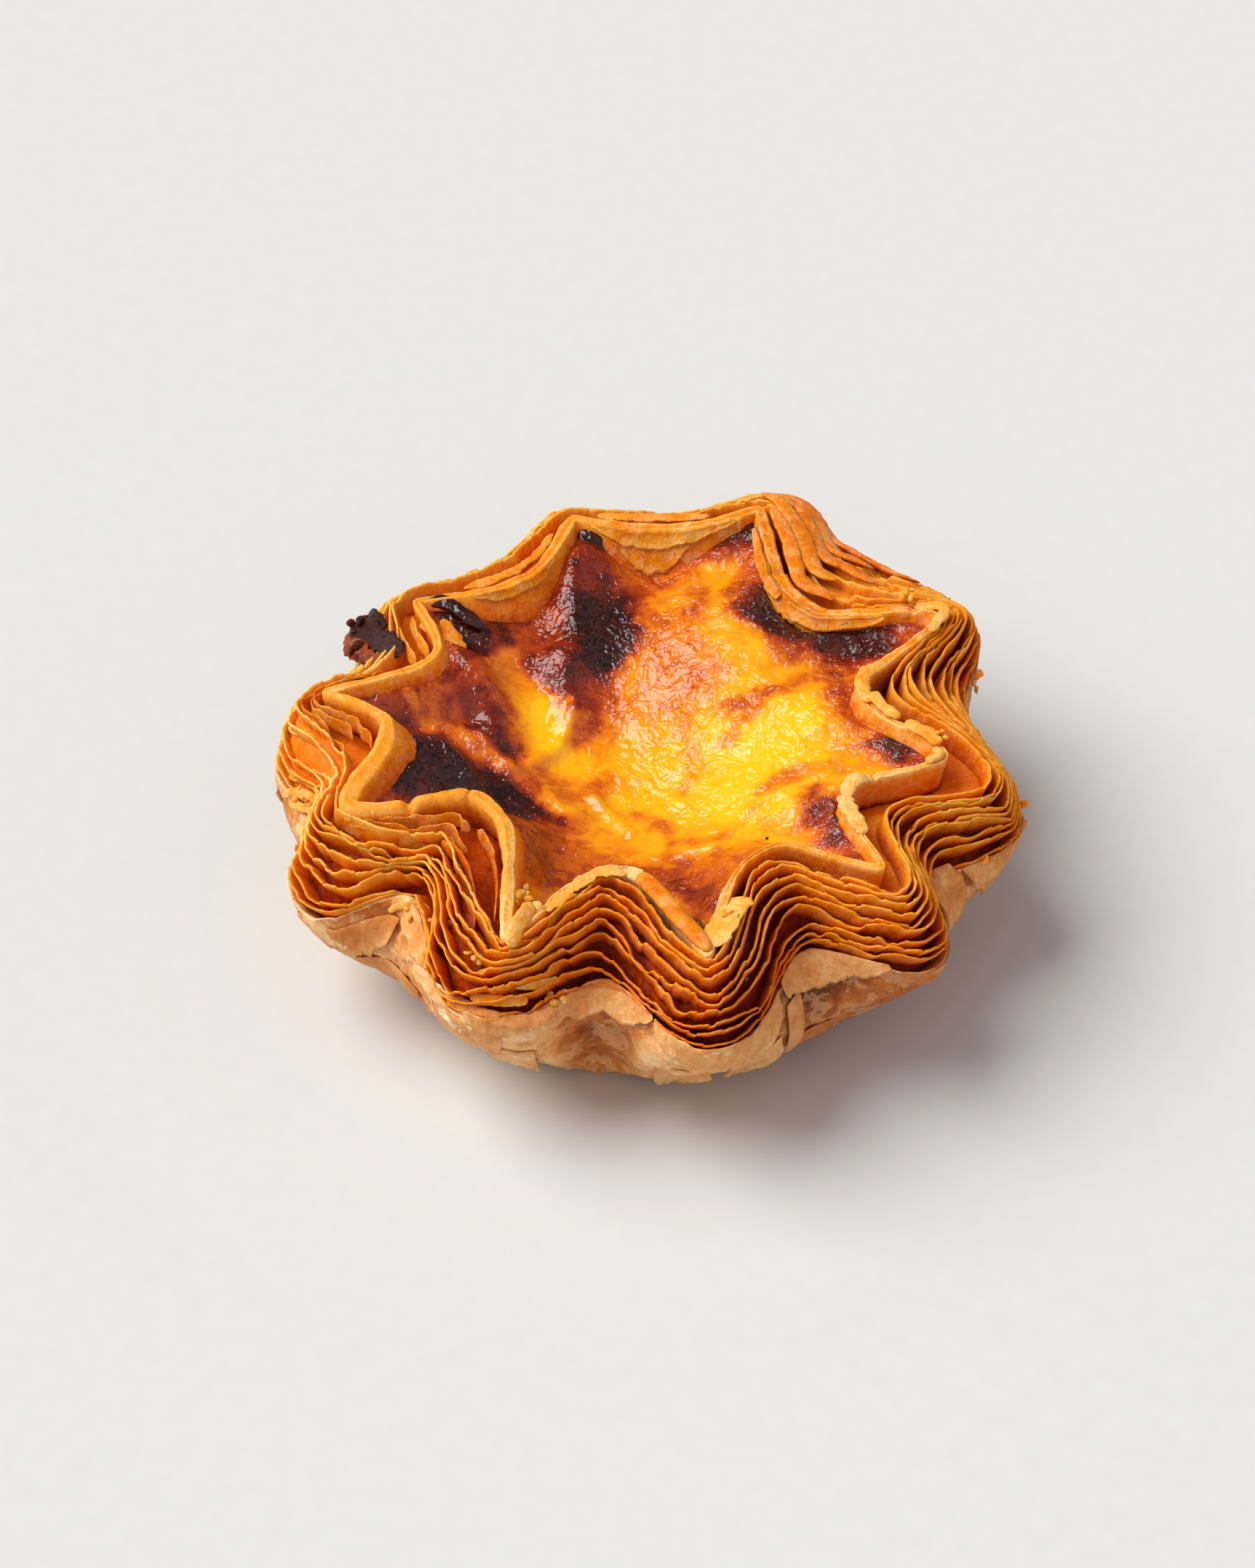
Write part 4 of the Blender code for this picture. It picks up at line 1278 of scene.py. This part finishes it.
# Browned and burnt streaks: how toasted, half the width, and the places each one runs through
Streak = namedtuple("Streak", "toast half places")
STREAKS = (
    Streak(0.52, 1.9, ((-8.6, -0.8), (-4.4, -1.2))),
    Streak(0.46, 1.2, ((0.5, -6.5), (3.0, -11.0), (8.5, -11.5))),
    Streak(0.50, 1.4, ((9.5, 6.5), (14.5, 7.6), (20.0, 10.8))),
    Streak(0.31, 0.8, ((6.2, 9.0), (5.6, 4.0), (5.2, -2.0))),
    Streak(0.38, 0.9, ((9.0, 2.0), (12.4, 5.6))),
    Streak(0.52, 3.2, ((-2.0, 24.0), (0.0, 20.0), (3.0, 19.0), (6.4, 21.0))),
    Streak(0.56, 1.5, ((-3.0, 28.0), (2.0, 26.4), (8.0, 27.8))),
    Streak(0.50, 2.0, ((12.5, 21.5), (13.0, 19.0))),
    Streak(0.56, 2.0, ((-19.6, 16.6), (-14.0, 17.6))),
    Streak(0.64, 5.4, ((-7.5, 25.0), (-7.5, 17.0), (-8.4, 12.0))),
    Streak(0.74, 2.6, ((-13.4, 22.0), (-10.8, 15.0), (-9.0, 9.0), (-7.6, 6.2))),
    Streak(1.00, 2.6, ((-7.4, 24.6), (-7.0, 20.6), (-5.8, 17.4))),
    Streak(0.96, 2.2, ((-3.8, 20.6), (-3.8, 15.4))),
    Streak(0.84, 1.5, ((-7.6, 13.0), (-9.2, 9.0))),
    Streak(0.92, 2.3, ((-6.8, 33.0), (-6.2, 29.6))),
    Streak(0.76, 2.2, ((-6.8, 28.0), (-6.6, 23.6))),
    Streak(0.70, 3.0, ((-10.6, 27.6), (-12.6, 22.0))),
    Streak(0.72, 2.8, ((-20.0, 10.6), (-17.4, 6.4), (-15.4, 2.0))),
    Streak(0.84, 1.4, ((-18.6, 5.8), (-14.8, 0.8))),
    Streak(0.62, 1.0, ((-10.6, 4.2), (-7.4, 6.6))),
    Streak(0.60, 3.0, ((-29.0, 3.6), (-24.0, 6.0))),
    Streak(0.66, 6.5, ((-25.0, -2.0), (-17.0, -7.0), (-13.0, -11.0))),
    Streak(1.00, 4.4, ((-24.6, -3.6), (-18.4, -4.6), (-14.4, -7.4))),
    Streak(0.62, 2.6, ((-13.0, -9.0), (-10.6, -14.6), (-6.6, -17.4))),
    Streak(0.66, 1.8, ((-11.6, -14.6), (-10.6, -20.0))),
    Streak(0.56, 2.4, ((-6.0, -15.6), (1.0, -16.0), (7.0, -17.6))),
    Streak(0.70, 1.8, ((0.5, -18.0), (5.0, -20.0), (6.2, -26.0))),
    Streak(0.48, 1.6, ((9.0, -15.6), (15.0, -16.8))),
    Streak(0.62, 1.6, ((18.6, -9.0), (19.6, -13.0), (21.6, -19.0))),
    Streak(0.76, 1.2, ((20.6, -12.0), (21.6, -16.6))),
    Streak(0.40, 1.6, ((13.0, -7.0), (18.0, -5.0), (22.0, -4.6))),
    Streak(0.62, 1.8, ((20.6, 12.0), (21.8, 7.6), (24.0, 3.4), (27.0, -0.6))),
    Streak(0.92, 2.2, ((27.0, -1.6), (30.6, -2.4))),
    Streak(0.90, 2.8, ((13.8, 20.0), (17.4, 17.0), (23.0, 16.4), (28.0, 18.4))),
    Streak(0.58, 1.5, ((14.0, 13.2), (20.0, 12.2), (25.0, 13.4))),
    Streak(0.90, 1.8, ((15.0, 16.0), (20.0, 14.8), (26.0, 15.4))),
    Streak(0.86, 2.2, ((8.6, 31.0), (12.6, 31.0), (14.4, 26.0))),
    Streak(0.94, 1.8, ((11.6, 33.0), (13.4, 29.6))),
    Streak(0.62, 1.6, ((11.8, 27.6), (11.2, 22.6))),
    Streak(0.98, 2.0, ((-25.6, 19.0), (-21.4, 19.4), (-18.0, 16.6))),
    Streak(0.96, 1.8, ((-31.0, 6.2), (-26.4, 7.0))),
    Streak(0.90, 1.1, ((-21.5, 17.2), (-18.5, 14.5))),
    Streak(0.52, 0.9, ((-27.0, 6.8), (-19.0, 2.4), (-14.0, -1.0), (-10.0, -3.8), (-6.6, -7.0))),
)


def far_from(x, y, places):
    """The distance to a line that runs straight from each place to the next."""
    nearest = np.full_like(x, 1e9)
    for (x0, y0), (x1, y1) in zip(places, places[1:]):
        along = ((x - x0) * (x1 - x0) + (y - y0) * (y1 - y0)) / ((x1 - x0) ** 2 + (y1 - y0) ** 2)
        along = np.clip(along, 0, 1)
        nearest = np.minimum(nearest, np.hypot(x - mix(x0, x1, along), y - mix(y0, y1, along)))
    return nearest


def marked(toast, x, y, frayed, marks):
    """The toast with oval marks mixed in, each by a bell of the distance in its half sizes."""
    for mark in marks:
        c, s = np.cos(np.radians(mark.turn)), np.sin(np.radians(mark.turn))
        dx, dy = x - mark.x, y - mark.y
        far = np.hypot((dx * c + dy * s) / mark.half_x, (dy * c - dx * s) / mark.half_y) + frayed
        toast = mix(toast, mark.toast, np.exp(-0.7 * np.maximum(far, 0) ** 3))
    return toast


def toast_at(x, y, rim_share):
    """How toasted the custard is: browner towards the rim, then each pale mark and each streak mixed
    in by a bell of its distance in half-sizes, with the places stirred by noise first.
    """
    here = np.stack([x, y, np.zeros_like(x)], -1)
    turned = np.arctan2(y, x)
    radial = noise(np.stack([turned * 9.0, np.hypot(x, y) / 9.0, np.zeros_like(x)], -1), 1.0, 77)
    radial += 0.6 * noise(np.stack([turned * 22.0, np.hypot(x, y) / 6.0, np.zeros_like(x)], -1), 1.0, 78)
    x = x + 1.5 * noise(here, 4.5, 71) + 0.8 * noise(here, 1.8, 72) + 0.3 * noise(here, 0.7, 70)
    y = y + 1.5 * noise(here, 4.5, 73) + 0.8 * noise(here, 1.8, 74) + 0.3 * noise(here, 0.7, 79)
    frayed = 0.30 * rough(here, 2.6, 76)
    toast = 0.40 + 0.05 * noise(here, 5.0, 75)
    toast = marked(toast, x, y, 0.5 * frayed, PALE_MARKS)
    toast = toast + 0.20 * smooth(0.80, 1.0, rim_share) + 0.06 * radial * smooth(0.45, 0.8, rim_share)
    for streak in STREAKS:
        far = far_from(x, y, streak.places) / streak.half + frayed
        toast = mix(toast, streak.toast, np.exp(-0.7 * np.maximum(far, 0) ** 2.6))
    return marked(toast, x, y, 0.5 * frayed, LATE_MARKS)


BASIN_LOWEST = (-4.0, -5.0, 17.4)
BASIN_RISE, BASIN_REACH = 6.0, 31.0


def basin_height(x, y):
    """The custard's hollow: it rises by an eased step of the distance from its lowest place."""
    x0, y0, z0 = BASIN_LOWEST
    return z0 + BASIN_RISE * smooth(0.0, BASIN_REACH, np.hypot(x - x0, y - y0))


# Folds in the custard's skin: height, width, and the places each one runs through
RIDGES = (
    (0.55, 1.2, ((-27.0, 7.0), (-19.0, 2.6), (-14.0, -0.8))),
    (0.5, 1.2, ((-14.0, -0.6), (-10.3, -3.0), (-7.1, -6.1))),
    (0.55, 0.8, ((-5.0, -3.3), (-1.1, -9.3))),
    (0.65, 0.9, ((-7.2, 7.4), (-8.8, 3.2), (-11.6, 0.6))),
    (0.9, 2.0, ((-9.6, 14.0), (-7.4, 7.4))),
    (0.16, 0.8, ((5.8, 5.0), (5.4, 2.6), (5.3, -1.6))),
    (1.6, 2.2, ((-17.8, 12.0), (-15.8, 3.4))),
    (1.1, 1.2, ((-21.8, 0.4), (-18.4, -3.2))),
    (0.5, 0.9, ((-24.6, -5.0), (-20.6, -7.4))),
    (1.3, 2.4, ((-6.5, 27.0), (-7.0, 14.0))),
    (1.5, 6.0, ((9.0, 19.0), (7.8, 12.0))),
    (0.8, 5.0, ((14.5, 17.0), (13.0, 8.0))),
    (0.6, 2.4, ((10.0, 13.0), (20.0, 15.0))),
    (0.7, 4.6, ((9.5, 5.6), (17.6, 5.0))),
    (0.6, 5.5, ((13.6, -6.0), (16.6, 0.0))),
    (0.35, 0.7, ((11.0, -8.6), (17.0, -6.0), (23.0, -4.4))),
    (0.35, 1.0, ((14.0, 5.0), (21.0, 7.6))),
    (0.4, 1.1, ((19.0, 1.6), (27.0, 0.2))),
    (0.30, 1.6, ((-12.0, -20.0), (-6.0, -9.0))),
    (0.35, 1.0, ((-10.0, -12.0), (-2.0, -14.0), (8.0, -13.4))),
)


# Smoother parts of the skin: middle, half sizes, and how much calmer they are
CALM = (
    (3.8, 12.0, 4.2, 5.0, 0.45),
    (1.0, 22.0, 5.0, 4.0, 0.60),
    (-10.0, 20.0, 4.5, 6.5, 0.30),
    (-17.6, 7.5, 3.4, 5.0, 0.55),
)


def ridge_height(x, y):
    """Each ridge is a bell of the distance from its line, and they add up."""
    return sum(height * np.exp(-((far_from(x, y, places) / width) ** 2)) for height, width, places in RIDGES)


def stirred_at(x, y):
    """How much the skin has wrinkled: fully, but for the smoother parts, each an oval bell."""
    stirred = np.ones_like(x)
    for x0, y0, half_x, half_y, calming in CALM:
        far = ((x - x0) / half_x) ** 2 + ((y - y0) / half_y) ** 2
        stirred = stirred * (1 - calming * np.exp(-(far**1.6)))
    return stirred


CUSTARD_COLUMNS = 640
CUSTARD_UNDER_LIP = 0.55  # how far the custard's edge reaches into the lip
CUSTARD_CLIMB = 8.5  # how far from the rim the custard starts to climb to it
CUSTARD_FLOOR = 3.6


def add_custard(piece):
    """A sunken disc over direction and share of the rim's radius: its height is the hollow's, raised
    to the rim by an eased step near it, with folds and bumps; a closed underside narrows to a floor.
    """
    deg = even_columns(CUSTARD_COLUMNS)
    rim_r = round_off(lip_radius(deg), 0.5) - LIP_HALF_THICKNESS - at_lip(deg, STEP_IN)
    rim_z = LIP_HEIGHT + at_lip(deg, RISE) - at_lip(deg, DROP_TO_CUSTARD)
    across = np.stack([np.cos(np.radians(deg)), np.sin(np.radians(deg)), np.zeros(CUSTARD_COLUMNS)], 1)
    shares = np.concatenate([np.linspace(0.012, 0.96, 120), np.linspace(0.97, 1.0, 6)])
    reach = rim_r + CUSTARD_UNDER_LIP
    radius = reach[:, None] * shares
    x, y = radius * across[:, :1], radius * across[:, 1:2]
    basin = basin_height(x, y)
    near_rim = 1 - smooth(0.0, CUSTARD_CLIMB, (1 - shares) * reach[:, None])
    height = basin + (rim_z[:, None] - basin[:, -1:]) * near_rim
    here = np.stack([x, y, np.zeros_like(x)], -1)
    stirred = stirred_at(x, y)
    wrinkled = (0.25 + 0.75 * smooth(-4.0, 8.0, x + 0.25 * y)) * stirred
    fine = 0.07 * noise(here, 1.9, 82) + 0.02 * noise(here, 0.95, 83)
    bumps = 0.22 * noise(here, 4.2, 81) + fine * wrinkled
    calm = 1 - smooth(0.93, 1.0, shares)
    height = height + (ridge_height(x, y) + bumps) * calm - 0.25 * smooth(0.985, 1.0, shares)
    top = np.stack([x, y, height], -1)
    wall = []
    for share in (0.92, 0.6, 0.25, 0.0):
        wall_r = mix(CAVITY_RADIUS, rim_r, share**0.75) - 0.4
        wall.append(across * wall_r[:, None] + UP * mix(CUSTARD_FLOOR, rim_z - 0.6, share)[:, None])
    for floor_r in (12.0, 5.0):
        wall.append(across * floor_r + UP * CUSTARD_FLOOR)

    def with_wall(values, on_wall):
        return np.concatenate([values, np.full((CUSTARD_COLUMNS, len(wall)), on_wall)], 1)

    points = np.concatenate([top, np.stack(wall, 1)], 1)
    toast = with_wall(toast_at(x, y, shares[None, :] + 0 * x), 0.4)
    wrinkled, stirred = with_wall(wrinkled, 0.0), with_wall(stirred, 0.0)
    bubbly = smooth(0.42, 0.62, toast) * stirred
    middle = np.array([0, 0, top[:, 0, 2].mean()])
    piece.add_bowl(points, middle, UP * CUSTARD_FLOOR, toast=toast, wrinkled=wrinkled, bubbly=bubbly)


# ---- Build ----

leaf_material = pastry_material("baked_pastry_leaves", LEAF_STOPS, 0.40)
lip_material = pastry_material("glossy_pastry_lip", LEAF_STOPS, 0.20, 0.36)
skin_material = pastry_material("matte_outer_pastry", SKIN_STOPS, 0.08, 0.55, 3.2, 0.40)

lip = Piece("lip", "crust")
add_lip(lip)
lip.make(lip_material)

# The leaves count outwards from the lip
for name, first, last in (("inner_leaves", 1, 3), ("middle_leaves", 4, 6), ("outer_leaves", 7, LEAVES - 1)):
    stack = Piece(name, "crust")
    for number in range(first, last + 1):
        add_leaf(stack, number)
    stack.make(leaf_material)

core = Piece("pastry_under_the_leaves", "crust")
add_core(core)
core.make(leaf_material)

skin = Piece("outer_skin", "crust")
add_skin(skin)
skin.make(skin_material)

peels = Piece("torn_skin_layers", "crust")
for i, peel in enumerate(PEELS):
    add_peel(peels, wall_at, ACROSS, 0.16, i, *peel)
add_strips(peels, SKIN_STRIPS, 160)
peels.make(skin_material)

bits = Piece("lip_flakes_and_rolls", "crust")
for i, peel in enumerate(LIP_PEELS):
    add_peel(bits, lip_face, -LIP_SQUARE, 0.30, 50 + i, *peel)
add_rolls(bits)
add_strips(bits, STRIPS, 0)
add_spikes(bits)
add_low_leaves(bits)
add_bundle(bits)
bits.make(lip_material)

crumbs = Piece("crumbs", "crust")
add_crumbs(crumbs)
crumbs.make(leaf_material)

scrap = Piece("burnt_scrap", "crust")
add_scrap(scrap)
scrap.make(lip_material)

custard_glaze = custard_material()
filling = Piece("custard_filling", "custard")
add_custard(filling)
filling.make(custard_glaze)

drips = Piece("burnt_custard_on_the_lip", "custard")
add_drips(drips)
drips.make(custard_glaze)

# ---- Stage, light and camera ----


def add_floor():
    """A pale floor of a few metres, with fine fibre in its colour and relief."""
    mesh = bpy.data.meshes.new("floor")
    half = 4.0
    corners = [(-half, -half, 0), (half, -half, 0), (half, half, 0), (-half, half, 0)]
    mesh.from_pydata(corners, [], [(0, 1, 2, 3)])
    paper = Nodes("pale_floor")
    fibre = paper.noise(2.5, 3.0)
    colour = paper.ramp(fibre, ((0.3, (0.602, 0.600, 0.580, 1)), (0.7, (0.614, 0.612, 0.592, 1))))
    mesh.materials.append(paper.finish(colour, 0.8, paper.bump(fibre, 0.02, 0.2), specular_ior_level=0.2))
    floor = bpy.data.objects.new("floor", mesh)
    bpy.context.scene.collection.objects.link(floor)


def look(thing, place, target):
    """Puts a lamp or the camera at a place, pointing its -Z at the target, with its Y upwards."""
    back = (Vector(place) - Vector(target)).normalized()
    right = Vector((0, 0, 1)).cross(back).normalized()
    up = back.cross(right)
    turn = Matrix((right, up, back)).transposed().to_4x4()
    thing.matrix_world = Matrix.Translation(Vector(place)) @ turn


def add_light(name, strength, spread, azimuth, elevation, colour):
    """A far, evenly bright round lamp: its spread is how wide it looks, in degrees."""
    data = bpy.data.lights.new(name, "SUN")
    data.energy, data.angle, data.color = strength, np.radians(spread), colour
    lamp = bpy.data.objects.new(name, data)
    bpy.context.scene.collection.objects.link(lamp)
    a, e = np.radians(azimuth), np.radians(elevation)
    look(lamp, np.array([np.cos(a) * np.cos(e), np.sin(a) * np.cos(e), np.sin(e)]), (0, 0, 0))


# The room: a bright softbox at the back left, and a pale room with a dim part up behind the tart
add_floor()
add_light("softbox", 3.60, 47, 168, 52.6, (0.975, 1.0, 0.995))
DIM_WAY = (0.0, 0.73, 0.68)
DIM_FROM, DIM_TO = 0.45, 0.95  # how near its direction the room starts and ends to dim
ROOM_STRENGTH, DIM_STRENGTH = 0.63, 0.17
world = bpy.data.worlds.new("studio")
world.use_nodes = True
sky = world.node_tree
way = sky.nodes.new("ShaderNodeTexCoord")
aside = sky.nodes.new("ShaderNodeVectorMath")
aside.operation = "DOT_PRODUCT"
aside.inputs[1].default_value = DIM_WAY
dimming = sky.nodes.new("ShaderNodeMapRange")
dimming.interpolation_type = "SMOOTHSTEP"
for socket, value in zip(dimming.inputs[1:5], (DIM_FROM, DIM_TO, ROOM_STRENGTH, DIM_STRENGTH)):
    socket.default_value = value
background = sky.nodes["Background"]
sky.links.new(way.outputs["Generated"], aside.inputs[0])
sky.links.new(aside.outputs["Value"], dimming.inputs["Value"])
sky.links.new(dimming.outputs["Result"], background.inputs["Strength"])
background.inputs["Color"].default_value = (1.0, 0.90, 0.925, 1)
bpy.context.scene.world = world
bpy.context.scene.view_settings.view_transform = "Standard"

# The camera, in millimetres: it looks down at the rim's middle from the front
CAMERA_TILT = np.radians(43)
CAMERA_FAR = 520
CAMERA_TARGET = np.array([-0.574, 0.354, 26.6])
PICTURE_ASIDE, PICTURE_DOWN = 1.445, 7.27  # from the target to the picture's middle
camera_data = bpy.data.cameras.new("camera")
camera_data.lens, camera_data.sensor_width = 111.1, 36.0
camera_data.clip_end = 20
camera = bpy.data.objects.new("camera", camera_data)
bpy.context.scene.collection.objects.link(camera)
back = np.array([0, -np.cos(CAMERA_TILT), np.sin(CAMERA_TILT)])
up_picture = np.array([0, np.sin(CAMERA_TILT), np.cos(CAMERA_TILT)])
aim = CAMERA_TARGET + np.array([-PICTURE_ASIDE, 0, 0]) - PICTURE_DOWN * up_picture
look(camera, (CAMERA_TARGET + CAMERA_FAR * back) * MM, aim * MM)
bpy.context.scene.camera = camera
